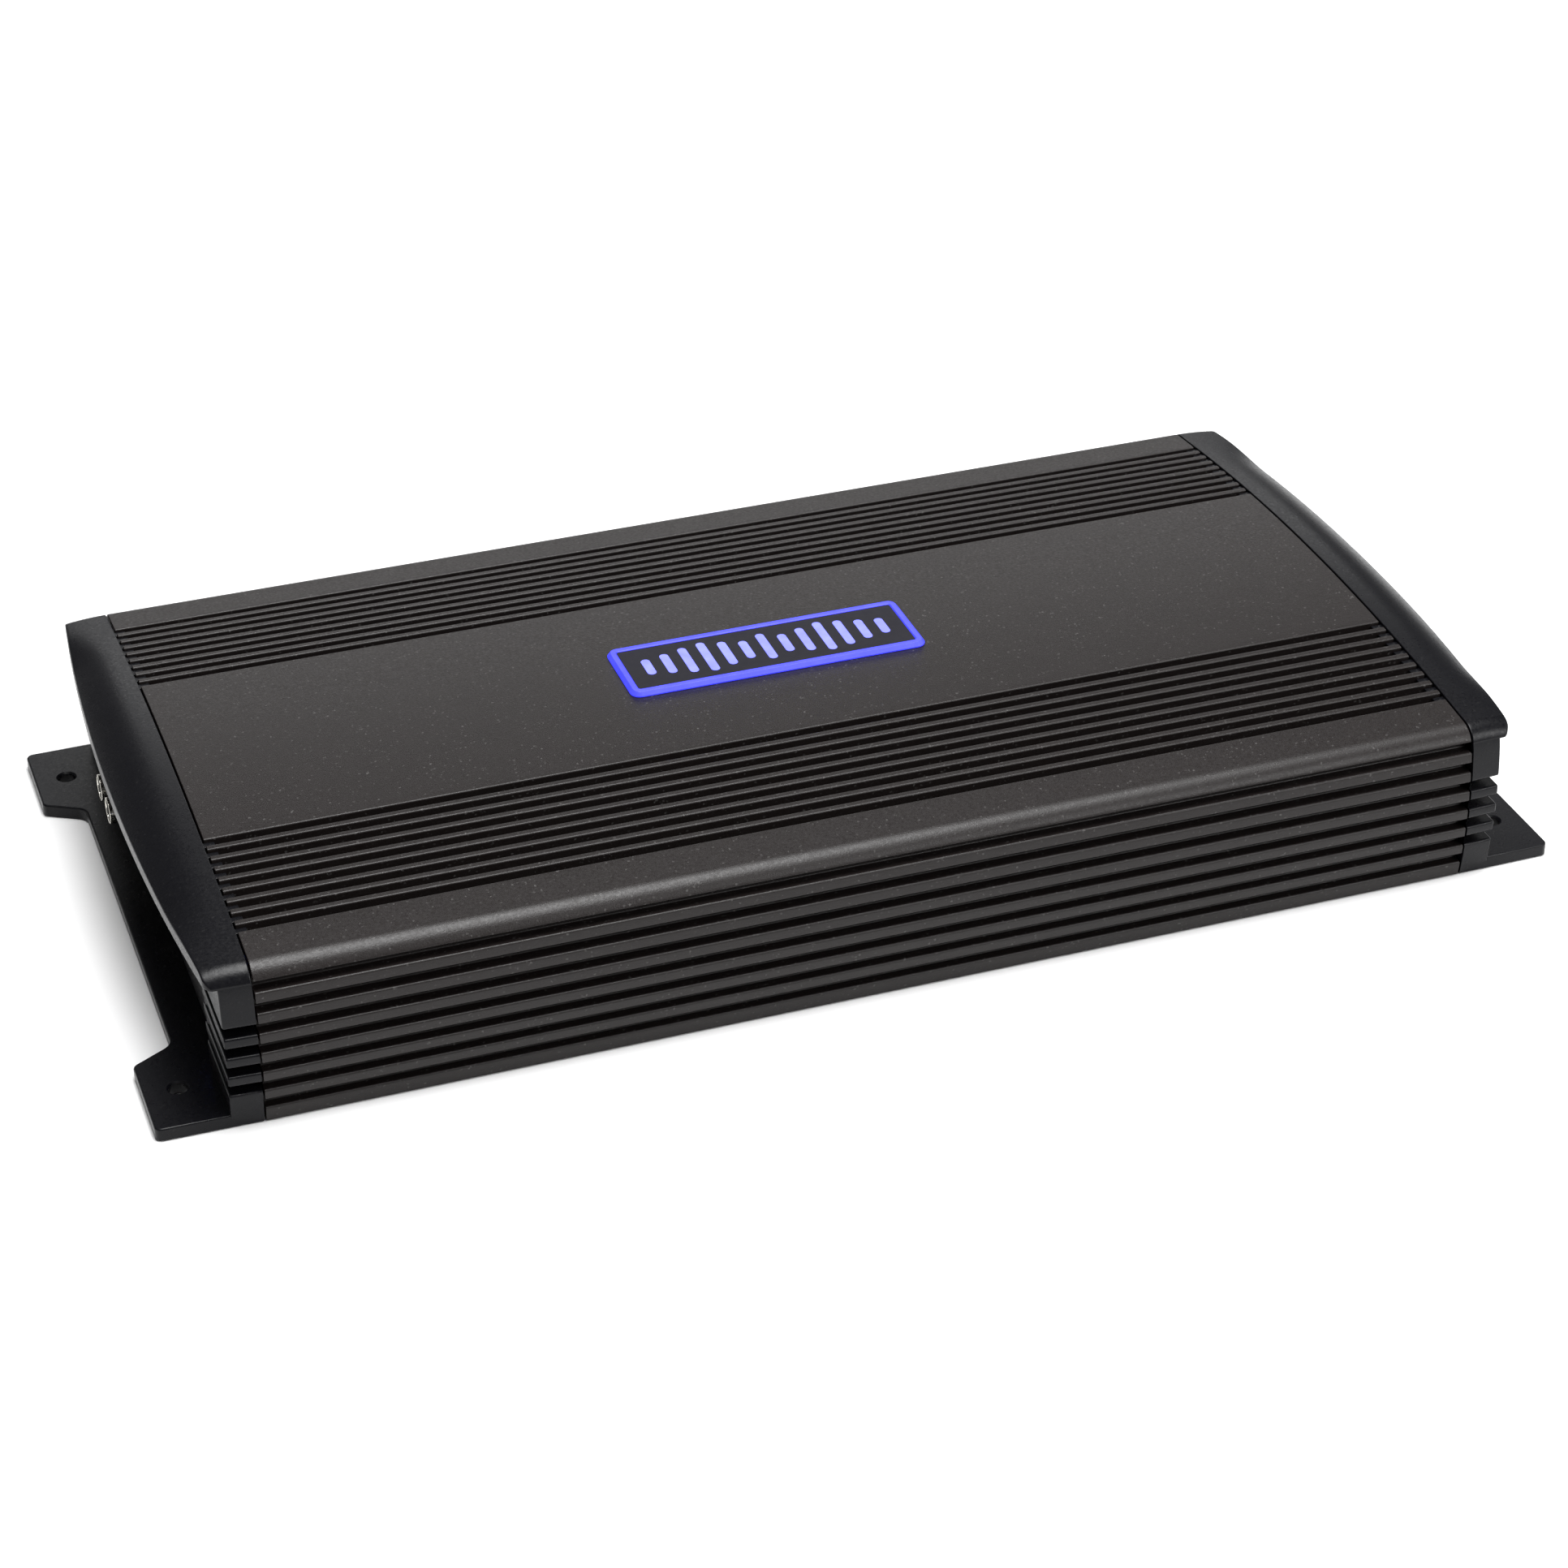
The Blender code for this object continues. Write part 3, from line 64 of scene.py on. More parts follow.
# ---- sizes taken from the frame ----------------------------------------------------------
sink_high = node_mm("heatsink")[1]
cap_high = node_mm("right_end_cap")[1]
badge_high = node_mm("badge_light_frame")[1]
BODY_END = sink_high.x                  # end of the finned body
SIDE_Y = sink_high.y                    # widest point of the bowed side
TOP_Z = sink_high.z                     # crown on the centre line
SEAM_GAP = 0.25
SEAM_X = BODY_END + SEAM_GAP

# ---- cross-section -----------------------------------------------------------------------
CROWN_RADIUS = 860.0
SIDE_Z = 28.0
SIDE_RADIUS = 140.0
SHOULDER_RADIUS = 7.0
SHOULDER_Y = 102.9
SHOULDER_Z = 44.5
SHOULDER_TILT = math.radians(7.0)
PANEL_HALF = 46.9
PANEL_STEPS = 14
TOP_PITCH = 5.18
TOP_GROOVE = 2.96
TOP_GROOVES = 9
TOP_DEPTH = 5.0
SIDE_PITCH = 6.48
SIDE_GROOVE = 3.2
SIDE_GROOVES = 7
SIDE_DEPTH = 3.9
SIDE_TOP_Z = 47.3
EDGE = 0.5                              # rounding of the extruded edges
CUT_EDGE = 0.3                          # and of the sawn ends
FIN_ROUND = 0.7                         # upper edge of the side fins
FOOT_EDGE = 0.4                         # chamfer along the underside
PLATE_SLOT_Y = 104.0
# corners (y, z) of the hollow's half, from the plate slot up to the centre line
INSIDE = ((PLATE_SLOT_Y, 3.4), (95.0, 3.4), (95.0, 5.6), (101.0, 5.6), (101.0, 39.5), (95.0, 43.5),
          (48.0, 45.0), (40.0, 50.0))

# ---- end caps ----------------------------------------------------------------------------
CAP_TAPER = 0.055
BLOCK_DEPTH = 9.6
BAY_HALF = 80.0
VISOR_Z = 46.6
VISOR_START = 3.0
VISOR_BEND = 23.0
VISOR_MID = 19.0
VISOR_PLAN_RADIUS = 990.0
VISOR_CORNER = 3.2                      # plan radius of the lip's corners
VISOR_EVEN_HALF = 70.0                  # full droop up to here
VISOR_BLUNT_HALF = 103.0                # and the share below from here outwards
VISOR_CORNER_DROOP = 0.28
FLANGE_DEPTH = 18.3
TAB_DEPTH = cap_high.x - SEAM_X
FLANGE_THICK = 4.2
TAB_FRONT_Y = 107.8
TAB_INNER_Y = 75.0
TAB_CHAMFER_Y = 68.0
TAB_CORNER = 2.2
FLANGE_CORNER = 2.2 * TAB_CORNER
TAB_HOLE_RADIUS = 2.75
TAB_HOLE_X = 20.6
TAB_HOLE_Y = 89.7
RIB_TOPS = (31.1, 24.65, 18.2)
RIB_THICK = 3.4
BLOCK_BOTTOM_Z = 34.2
BASE_BOTTOM_Z = 0.7
BASE_TOP_Z = 11.7
CASTING_EDGE = 0.8
SLAB_ROOT_Y = BAY_HALF + 0.6
CASTING_SKIN = 0.02                     # corner slabs stay this far inside the hood's skin
CORE_THICK = 3.6                        # wall behind the ribs
CORE_INSET = 9.0                        # from the widest point of the side
CORE_BOTTOM_Z = 2.7
OPENING_HALF = 73.0                     # half the gap between the two cores
WALL_THICK = 2.6
WALL_BOTTOM_Z = 2.4
SLAB_TUCK = 1.4                         # how far each runs up into the hood
CORE_TUCK = 1.7
WALL_TUCK = 2.0
FINGER_LENGTH = 3.2                     # fingers of the cap in the top grooves
FINGER_GAP = 0.25
FINGER_ROOT = 1.5
FINGER_DROP = 0.8
POCKET_DEPTH = 13.0                     # hollow under the hood
POCKET_TOP_Z = 50.2
HOLE_EDGE = 0.5
HOOD_STEPS = 14


# ---- small geometry helpers --------------------------------------------------------------
def crown_z(y):
    return TOP_Z - CROWN_RADIUS + math.sqrt(CROWN_RADIUS ** 2 - y ** 2)


def side_y(z):
    return SIDE_Y - (z - SIDE_Z) ** 2 / (2.0 * SIDE_RADIUS)


def skin_y(z):
    """Outside of the body at a height, with the shoulder taken into account."""
    flat = side_y(z)
    if z <= SHOULDER_Z:
        return flat
    across = math.sqrt(max(0.0, SHOULDER_RADIUS ** 2 - (z - SHOULDER_Z) ** 2))
    return min(flat, SHOULDER_Y + across)


def shoulder(steps):
    points = []
    turn = math.radians(90.0) - 2 * SHOULDER_TILT
    for i in range(steps + 1):
        angle = math.radians(90.0) - SHOULDER_TILT - i / steps * turn
        points.append((SHOULDER_Y + SHOULDER_RADIUS * math.cos(angle),
                       SHOULDER_Z + SHOULDER_RADIUS * math.sin(angle)))
    return points


def filleted(corners, steps=4):
    """Closed outline with each corner (a, b, radius) rounded by an arc."""
    points = []
    count = len(corners)
    for i, (a, b, radius) in enumerate(corners):
        here = Vector((a, b))
        if radius <= 0.0:
            points.append((a, b))
            continue
        back = Vector(corners[i - 1][:2]) - here
        ahead = Vector(corners[(i + 1) % count][:2]) - here
        room = 0.48 * min(back.length, ahead.length)
        back.normalize()
        ahead.normalize()
        half = back.angle(ahead) / 2.0
        reach = min(radius / math.tan(half), room)
        centre = here + (back + ahead).normalized() * (reach / math.cos(half))
        start = here + back * reach - centre
        first = math.atan2(start.y, start.x)
        end = here + ahead * reach - centre
        turn = math.atan2(end.y, end.x) - first
        turn = (turn + math.pi) % math.tau - math.pi
        for k in range(steps + 1):
            angle = first + turn * k / steps
            points.append((centre.x + start.length * math.cos(angle),
                           centre.y + start.length * math.sin(angle)))
    return points


def inset(loop, amount):
    """Closed outline moved inwards by an amount."""
    if amount == 0.0:
        return list(loop)
    count = len(loop)
    area = sum(loop[i - 1][0] * loop[i][1] - loop[i][0] * loop[i - 1][1] for i in range(count))
    turn = 1.0 if area > 0.0 else -1.0
    moved = []
    for i in range(count):
        here = Vector(loop[i])
        into = (here - Vector(loop[i - 1])).normalized()
        out = (Vector(loop[(i + 1) % count]) - here).normalized()
        normal = Vector((-into.y - out.y, into.x + out.x)) * turn
        if normal.length < 1e-6:
            normal = Vector((-out.y, out.x)) * turn
        normal.normalize()
        square = max(0.5, normal.dot(Vector((-out.y, out.x)) * turn))
        moved.append(tuple(here + normal * (amount / square)))
    return moved


def mesh_object(name, verts, faces):
    """Closed mesh from millimetre points, with its normals made to point outwards."""
    mesh = bpy.data.meshes.new(name)
    work = bmesh.new()
    made = [work.verts.new(Vector(v) * MM) for v in verts]
    for face in faces:
        ring = list(dict.fromkeys(face))
        if len(ring) > 2:
            work.faces.new([made[i] for i in ring])
    bmesh.ops.remove_doubles(work, verts=work.verts, dist=1e-7)
    bmesh.ops.dissolve_degenerate(work, edges=work.edges, dist=1e-7)
    bmesh.ops.recalc_face_normals(work, faces=work.faces)
    work.to_mesh(mesh)
    work.free()
    obj = bpy.data.objects.new(name, mesh)
    bpy.context.scene.collection.objects.link(obj)
    return obj


def loft(name, rings):
    """Closed solid through rings of equal length, with flat ends."""
    size = len(rings[0])
    verts = [point for ring in rings for point in ring]
    faces = [tuple(range(size)), tuple(range(len(verts) - size, len(verts)))]
    for r in range(len(rings) - 1):
        for i in range(size):
            j = (i + 1) % size
            faces.append((r * size + i, r * size + j, (r + 1) * size + j, (r + 1) * size + i))
    return mesh_object(name, verts, faces)


def on_axis(axis, a, b, along):
    return {"X": (along, a, b), "Y": (a, along, b), "Z": (a, b, along)}[axis]


def rounded_ends(start, end, radius, steps=3, both=True):
    """Stations (along, inset) of a sweep whose end edges are rounded."""
    arc = []
    for k in range(steps + 1):
        angle = math.radians(90.0) * k / steps
        arc.append((radius * (1.0 - math.sin(angle)), radius * (1.0 - math.cos(angle))))
    sign = 1.0 if end > start else -1.0
    first = [(start + sign * gap, step) for gap, step in reversed(arc)] if both else [(start, 0.0)]
    return first + [(end - sign * gap, step) for gap, step in arc]


def sweep(name, outline, axis, stations):
    """Outline carried along an axis through (along, inset) stations."""
    return loft(name, [[on_axis(axis, a, b, along) for a, b in inset(outline, step)]
                       for along, step in stations])


def rounded_box(name, x, y, z, radius, edge=None):
    """Block with rounded upright edges and softened top and bottom edges."""
    edge = 0.7 * radius if edge is None else edge
    outline = filleted([(x[0], y[0], radius), (x[1], y[0], radius), (x[1], y[1], radius),
                        (x[0], y[1], radius)])
    return sweep(name, outline, "Z", rounded_ends(z[0], z[1], edge))


def circle(radius, count):
    return [(radius * math.cos(math.tau * i / count), radius * math.sin(math.tau * i / count))
            for i in range(count)]


def turned(name, profile, axis, centre, count=48, closed=True, flute=0.0):
    """Turned solid from (radius, along) corners; a closed profile makes a ring.

    A flute draws every other point of each circle in, as a share of its radius.
    """
    verts = []
    for radius, along in profile:
        for i, (a, b) in enumerate(circle(radius, count)):
            share = 1.0 - flute * (i % 2)
            verts.append(on_axis(axis, centre[0] + a * share, centre[1] + b * share, along))
    size = len(profile)
    faces = []
    for r in range(size if closed else size - 1):
        s = (r + 1) % size
        for i in range(count):
            j = (i + 1) % count
            faces.append((r * count + i, r * count + j, s * count + j, s * count + i))
    if not closed:
        faces.append(tuple(range(count)))
        faces.append(tuple(range((size - 1) * count, size * count)))
    return mesh_object(name, verts, faces)


def apply_modifiers(obj):
    graph = bpy.context.evaluated_depsgraph_get()
    result = bpy.data.meshes.new_from_object(obj.evaluated_get(graph))
    obj.modifiers.clear()
    obj.data = result


def remove(objects):
    for obj in objects:
        bpy.data.objects.remove(obj, do_unlink=True)


def merged(name, objects):
    """Several separate solids as one object."""
    work = bmesh.new()
    for obj in objects:
        work.from_mesh(obj.data)
    mesh = bpy.data.meshes.new(name)
    work.to_mesh(mesh)
    work.free()
    remove(objects)
    obj = bpy.data.objects.new(name, mesh)
    bpy.context.scene.collection.objects.link(obj)
    return obj


def boolean(base, tools, operation):
    """One exact Boolean after another with the tools, which are then removed."""
    for tool in tools:
        step = base.modifiers.new(tool.name, "BOOLEAN")
        step.operation = operation
        step.solver = "EXACT"
        step.object = tool
    apply_modifiers(base)
    remove(tools)
    return base


def smooth(obj):
    """Smooth shading that keeps edges sharp and flat faces flat."""
    obj.data.shade_smooth()
    obj.data.set_sharp_from_angle(angle=SHARP_ANGLE)
    weight = obj.modifiers.new("weighted_normals", "WEIGHTED_NORMAL")
    weight.keep_sharp = True
    weight.weight = 90


# ---- materials ---------------------------------------------------------------------------
class Surface:
    """A procedural Principled material with its pattern measured in millimetres."""

    def __init__(self, name, **sockets):
        self.material = bpy.data.materials.new(name)
        self.material.use_nodes = True
        self.nodes = self.material.node_tree.nodes
        self.links = self.material.node_tree.links
        self.shader = self.nodes["Principled BSDF"]
        for socket, value in sockets.items():
            self.shader.inputs[socket.replace("_", " ")].default_value = value
        place = self.nodes.new("ShaderNodeTexCoord")
        self.scale = self.nodes.new("ShaderNodeVectorMath")
        self.scale.operation = "MULTIPLY"
        self.scale.inputs[1].default_value = (1 / MM, 1 / MM, 1 / MM)
        self.links.new(place.outputs["Object"], self.scale.inputs[0])

    def stretched(self, factors):
        node = self.nodes.new("ShaderNodeVectorMath")
        node.operation = "MULTIPLY"
        node.inputs[1].default_value = factors
        self.links.new(self.scale.outputs[0], node.inputs[0])
        return node.outputs[0]

    def noise(self, size, detail=2.0, factors=None):
        """Noise whose features are about the given size in millimetres."""
        node = self.nodes.new("ShaderNodeTexNoise")
        node.inputs["Scale"].default_value = 1.0 / size
        node.inputs["Detail"].default_value = detail
        where = self.stretched(factors) if factors else self.scale.outputs[0]
        self.links.new(where, node.inputs["Vector"])
        return node.outputs["Fac"]

    def cells(self, size, output="Color"):
        node = self.nodes.new("ShaderNodeTexVoronoi")
        node.inputs["Scale"].default_value = 1.0 / size
        self.links.new(self.scale.outputs[0], node.inputs["Vector"])
        return node.outputs[output]

    def spread(self, source, low, high, bottom, top):
        """Source between low and high becomes bottom to top."""
        node = self.nodes.new("ShaderNodeMapRange")
        ends = (("From Min", low), ("From Max", high), ("To Min", bottom), ("To Max", top))
        for socket, value in ends:
            node.inputs[socket].default_value = value
        self.links.new(source, node.inputs["Value"])
        return node.outputs["Result"]

    def tint(self, factor, first, second):
        """Colour going from the first to the second with the factor."""
        node = self.nodes.new("ShaderNodeMix")
        node.data_type = "RGBA"
        self.links.new(factor, node.inputs["Factor"])
        for socket, value in (("A", first), ("B", second)):
            port = [p for p in node.inputs if p.name == socket and p.type == "RGBA"][0]
            if isinstance(value, tuple):
                port.default_value = (*value, 1.0)
            else:
                self.links.new(value, port)
        return [p for p in node.outputs if p.type == "RGBA"][0]

    def bump(self, source, height):
        """Height in millimetres added to any bump already there."""
        node = self.nodes.new("ShaderNodeBump")
        node.inputs["Distance"].default_value = height * MM
        node.inputs["Strength"].default_value = 1.0
        self.links.new(source, node.inputs["Height"])
        port = self.shader.inputs["Normal"]
        if port.is_linked:
            self.links.new(port.links[0].from_socket, node.inputs["Normal"])
        self.links.new(node.outputs["Normal"], port)

    def colour(self, socket):
        self.links.new(socket, self.shader.inputs["Base Color"])

    def roughness(self, socket):
        self.links.new(socket, self.shader.inputs["Roughness"])

    def glow(self, socket):
        self.links.new(socket, self.shader.inputs["Emission Color"])


def coated(name, dark, light, rough, grain, height, glint_share, shine=0.32):
    """Powder or satin coat: pebbled skin, faint bright flecks painted into the colour as glints of its
    metal flake, and slow gloss changes.
    """
    skin = Surface(name, Specular_IOR_Level=shine)
    body = skin.tint(skin.noise(6.0, 3.0), dark, light)
    # painted highlight: a few cells turn bright grey in the base colour and stand in for glints of the
    # coat's metal flake
    painted_glints = skin.spread(skin.cells(0.55), 0.86, 1.0, 0.0, glint_share)
    skin.colour(skin.tint(painted_glints, body, (0.5, 0.49, 0.48)))
    skin.roughness(skin.spread(skin.noise(0.9, 4.0), 0.3, 0.7, rough - 0.07, rough + 0.07))
    skin.bump(skin.noise(grain, 2.0), height)
    return skin.material


def moulded(name, dark, light, rough, height=0.02):
    """Moulded plastic with a fine spark-eroded texture."""
    skin = Surface(name)
    skin.colour(skin.tint(skin.noise(3.0, 4.0), dark, light))
    skin.roughness(skin.spread(skin.noise(1.5, 3.0), 0.3, 0.7, rough - 0.06, rough + 0.06))
    skin.bump(skin.noise(0.35, 2.0), height)
    return skin.material


def plated(name, dark, light, rough, factors):
    """Plated or bare metal with tool marks drawn out along one direction."""
    skin = Surface(name, Metallic=1.0)
    skin.colour(skin.tint(skin.noise(2.5, 3.0), dark, light))
    marks = skin.noise(0.4, 3.0, factors)
    skin.roughness(skin.spread(marks, 0.3, 0.7, rough - 0.08, rough + 0.08))
    skin.bump(marks, 0.006)
    return skin.material


def glowing(name, base, dim, bright, strength, rough):
    """Light-guide plastic lit from inside, a little uneven along its length."""
    skin = Surface(name, Emission_Strength=strength, Roughness=rough)
    skin.colour(skin.tint(skin.noise(4.0, 2.0), base, bright))
    skin.glow(skin.tint(skin.noise(9.0, 2.0), dim, bright))
    skin.bump(skin.noise(0.5, 2.0), 0.01)
    return skin.material


def make_materials():
    mats = {
        "extrusion": coated("black_powder_coat", (0.0072, 0.0052, 0.0049), (0.0105, 0.0078, 0.0073),
                            0.4, 0.42, 0.05, 0.12),
        "casting": coated("black_satin_casting", (0.0022, 0.0022, 0.0034), (0.0038, 0.0038, 0.005),
                          0.33, 0.7, 0.03, 0.02, 0.2),
        "plate": coated("black_sheet_steel", (0.02, 0.02, 0.02), (0.03, 0.029, 0.028),
                        0.5, 0.6, 0.04, 0.05),
        "panel": coated("black_panel_coat", (0.012, 0.012, 0.013), (0.018, 0.018, 0.019),
                        0.45, 0.5, 0.03, 0.03),
        "plastic": moulded("black_moulded_plastic", (0.014, 0.014, 0.015), (0.022, 0.022, 0.023),
                           0.45),
        "knob": moulded("grey_knob_plastic", (0.06, 0.06, 0.062), (0.085, 0.085, 0.088), 0.4),
        "terminal": moulded("terminal_plastic", (0.017, 0.017, 0.018), (0.026, 0.026, 0.027), 0.38),
        "epoxy": moulded("black_epoxy", (0.012, 0.012, 0.012), (0.02, 0.02, 0.02), 0.55, 0.03),
        "sleeve": moulded("capacitor_sleeve", (0.012, 0.018, 0.05), (0.02, 0.03, 0.07), 0.3, 0.01),
        "nickel": plated("bright_nickel", (0.66, 0.63, 0.56), (0.8, 0.78, 0.72), 0.2,
                         (0.15, 1.0, 1.0)),
        "set_screw": plated("nickel_screw", (0.6, 0.59, 0.56), (0.75, 0.74, 0.7), 0.25,
                            (1.0, 1.0, 0.2)),
        "steel": plated("plated_steel", (0.45, 0.45, 0.43), (0.6, 0.6, 0.57), 0.35,
                        (0.1, 1.0, 1.0)),
        "screw": plated("black_oxide_screw", (0.03, 0.03, 0.031), (0.06, 0.06, 0.06), 0.4,
                        (1.0, 1.0, 1.0)),
        "light_frame": glowing("blue_light_frame", (0.02, 0.02, 0.3), (0.03, 0.04, 1.0),
                               (0.055, 0.06, 1.0), 0.95, 0.45),
        "led_blue": glowing("blue_lens", (0.02, 0.05, 0.5), (0.03, 0.08, 1.0), (0.2, 0.3, 1.0),
                            2.0, 0.15),
        "motif": glowing("pale_blue_print", (0.08, 0.08, 0.4), (0.13, 0.15, 1.0), (0.2, 0.22, 1.0),
                         0.85, 0.5),
    }
    mats["gold"] = plated("gold_flashed_contact", (0.75, 0.5, 0.18), (0.9, 0.64, 0.28), 0.25,
                          (1.0, 0.2, 1.0))
    mats["print"] = moulded("white_panel_print", (0.5, 0.5, 0.5), (0.6, 0.6, 0.6), 0.5, 0.005)
    insert = Surface("dark_insert_film", Specular_IOR_Level=0.12)
    insert.colour(insert.tint(insert.noise(8.0, 3.0), (0.0055, 0.005, 0.009), (0.008, 0.0075, 0.013)))
    insert.roughness(insert.spread(insert.noise(2.0, 3.0), 0.3, 0.7, 0.3, 0.38))
    insert.bump(insert.noise(0.6, 2.0), 0.002)
    mats["insert"] = insert.material
    red = Surface("red_lens", Roughness=0.15)
    red.colour(red.tint(red.noise(1.0, 2.0), (0.22, 0.006, 0.006), (0.4, 0.015, 0.012)))
    mats["led_red"] = red.material
    fuse = Surface("amber_fuse_body", Roughness=0.18, Transmission_Weight=0.45, IOR=1.5)
    fuse.colour(fuse.tint(fuse.noise(2.5, 2.0), (0.75, 0.22, 0.02), (0.9, 0.34, 0.04)))
    fuse.bump(fuse.noise(0.8, 2.0), 0.01)
    mats["fuse"] = fuse.material
    white = Surface("white_solder_mask", Roughness=0.4)
    white.colour(white.tint(white.noise(1.2, 3.0), (0.66, 0.66, 0.62), (0.76, 0.76, 0.72)))
    mats["led_board"] = white.material
    mask = Surface("green_solder_mask")
    tracks = mask.spread(mask.cells(4.0, "Distance"), 1.2, 1.5, 0.0, 1.0)
    mask.colour(mask.tint(tracks, (0.02, 0.12, 0.05), (0.035, 0.19, 0.08)))
    mask.roughness(mask.spread(mask.noise(1.0, 3.0), 0.3, 0.7, 0.3, 0.42))
    mask.bump(tracks, 0.03)
    mats["board"] = mask.material
    wire = Surface("enamelled_copper", Metallic=1.0)
    wire.colour(wire.tint(wire.noise(1.5, 3.0), (0.5, 0.16, 0.05), (0.72, 0.28, 0.1)))
    wire.roughness(wire.spread(wire.noise(0.7, 2.0), 0.3, 0.7, 0.22, 0.36))
    wire.bump(wire.noise(0.5, 2.0), 0.02)
    mats["copper"] = wire.material
    return mats


def piece(obj, mat, body="chassis", stands_for=()):
    """Finish a piece: material, shading, body, slot and the CAD nodes that it replaces."""
    obj.data.materials.clear()
    obj.data.materials.append(mat)
    smooth(obj)
    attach(obj, body)
    if stands_for:
        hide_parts(*stands_for)


# ---- heatsink ----------------------------------------------------------------------------
def groove_walls(index):
    inner = PANEL_HALF + index * TOP_PITCH
    return inner, inner + TOP_GROOVE


def half_section():
    """Outside of the +Y half from the centre line down to the underside: (y, z, rounding)."""
    points = [(PANEL_HALF * i / PANEL_STEPS, crown_z(PANEL_HALF * i / PANEL_STEPS), 0.0)
              for i in range(PANEL_STEPS)]
    for index in range(TOP_GROOVES):
        inner, outer = groove_walls(index)
        floor = crown_z((inner + outer) / 2.0) - TOP_DEPTH
        points += [(inner, crown_z(inner), EDGE), (inner, floor, EDGE), (outer, floor, EDGE),
                   (outer, crown_z(outer), EDGE)]
    strip = groove_walls(TOP_GROOVES - 1)[1] + 2.0
    points.append((strip, crown_z(strip), 0.0))
    points += [(y, z, 0.0) for y, z in shoulder(16) if z > SIDE_TOP_Z + EDGE]
    for index in range(SIDE_GROOVES):
        top = SIDE_TOP_Z - index * SIDE_PITCH
        bottom = top - SIDE_GROOVE
        root = side_y(top) - SIDE_DEPTH
        points += [(skin_y(top), top, EDGE * 0.6), (root, top, EDGE), (root, bottom, EDGE),
                   (side_y(bottom), bottom, FIN_ROUND)]
        fin_bottom = max(bottom - SIDE_PITCH + SIDE_GROOVE, FOOT_EDGE)
        fin_z = (bottom + fin_bottom) / 2.0
        points.append((side_y(fin_z), fin_z, 0.0))
    points += [(side_y(FOOT_EDGE), FOOT_EDGE, 0.0), (side_y(0.0) - FOOT_EDGE, 0.0, 0.0),
               (PLATE_SLOT_Y, 0.0, 0.0)]
    return points


def build_heatsink(mats):
    """Finned body as one sweep, with its cut ends slightly broken."""
    half = half_section() + [(y, z, 0.0) for y, z in INSIDE]
    other = [(-y, z, r) for y, z, r in reversed(half) if y > 1e-6]
    outline = filleted(half + other, 3)
    body = sweep("finned_body", outline, "X", rounded_ends(-BODY_END, BODY_END, CUT_EDGE, 2))
    piece(body, mats["extrusion"], stands_for=("heatsink",))


# ---- end caps ----------------------------------------------------------------------------
def visor_reach(y):
    """How far the hood stands out at y: bowed lip with a rounded corner at each side."""
    bowed = VISOR_MID - y * y / (2.0 * VISOR_PLAN_RADIUS)
    into = max(0.0, abs(y) - (side_y(VISOR_Z) - VISOR_CORNER))
    return bowed - VISOR_CORNER + math.sqrt(max(0.0, VISOR_CORNER ** 2 - into ** 2))


def visor_droop(u, y):
    """Drop of the hood's top: a bend that fades out towards the corners."""
    reach = max(0.0, u - VISOR_START)
    bend = VISOR_BEND - math.sqrt(VISOR_BEND ** 2 - reach ** 2)
    share = min(1.0, max(0.0, (abs(y) - VISOR_EVEN_HALF) / (VISOR_BLUNT_HALF - VISOR_EVEN_HALF)))
    return bend * (1.0 - (1.0 - VISOR_CORNER_DROOP) * share * share * (3.0 - 2.0 * share))


def build_hood():
    """Roof of the left cap: the body's arch carried on, bending down to a rounded lip."""
    shell = [(100.0 * i / 28.0, crown_z(100.0 * i / 28.0)) for i in range(29)]
    shell += [point for point in shoulder(22) if point[1] > VISOR_Z + 0.25]
    shell = [(-y, z) for y, z in reversed(shell[1:])] + shell
    rings = []
    for y, z in shell:
        reach = visor_reach(y)
        local = crown_z(y) - VISOR_Z
        height = z - VISOR_Z
        lip = height * (1.0 - visor_droop(reach, y) / local)
        section = [(SEAM_GAP, 0.0, 0.0), (SEAM_GAP, height, min(0.3, height * 0.4))]
        for step in range(1, HOOD_STEPS):
            u = SEAM_GAP + (reach - SEAM_GAP) * step / HOOD_STEPS
            section.append((u, height * (1.0 - visor_droop(u, y) / local), 0.0))
        section += [(reach, lip, min(0.8, lip * 0.3)), (reach, 0.0, min(0.6, lip * 0.2))]
        ring = filleted(section, 4)
        rings.append([(-(SEAM_X + u), y * (1.0 - CAP_TAPER * u / SIDE_Y), VISOR_Z + h)
                      for u, h in ring])
    return loft("hood", rings)


def corner_slab(y_sign, z_low, z_high):
    """Part of a corner whose outer face follows the bowed side, with rounded outer edges."""
    count = max(2, round((z_high - z_low) / 2.5))
    levels = [z_low + (z_high - z_low) * i / count for i in range(count + 1)]
    section = [(SLAB_ROOT_Y, z_low, 0.0)]
    section += [(skin_y(z) - CASTING_SKIN, z, CASTING_EDGE if z in (z_low, z_high) else 0.0)
                for z in levels]
    section.append((SLAB_ROOT_Y, z_high, 0.0))
    outline = filleted(section, 3)
    rings = []
    for u, step in rounded_ends(SEAM_GAP, BLOCK_DEPTH, 0.75 * CASTING_EDGE, 4, both=False):
        rings.append([(-(SEAM_X + u), y_sign * (y - CAP_TAPER * (u - SEAM_GAP)), z)
                      for y, z in inset(outline, step)])
    return loft("slab", rings)


def foot_outline():
    half = [(SEAM_GAP, side_y(0.0), 0.0), (TAB_DEPTH, TAB_FRONT_Y, TAB_CORNER),
            (TAB_DEPTH, TAB_INNER_Y, TAB_CORNER), (FLANGE_DEPTH, TAB_CHAMFER_Y, FLANGE_CORNER)]
    full = half + [(u, -y, r) for u, y, r in reversed(half)]
    return [(-(SEAM_X + u), y) for u, y in filleted(full, 8)]


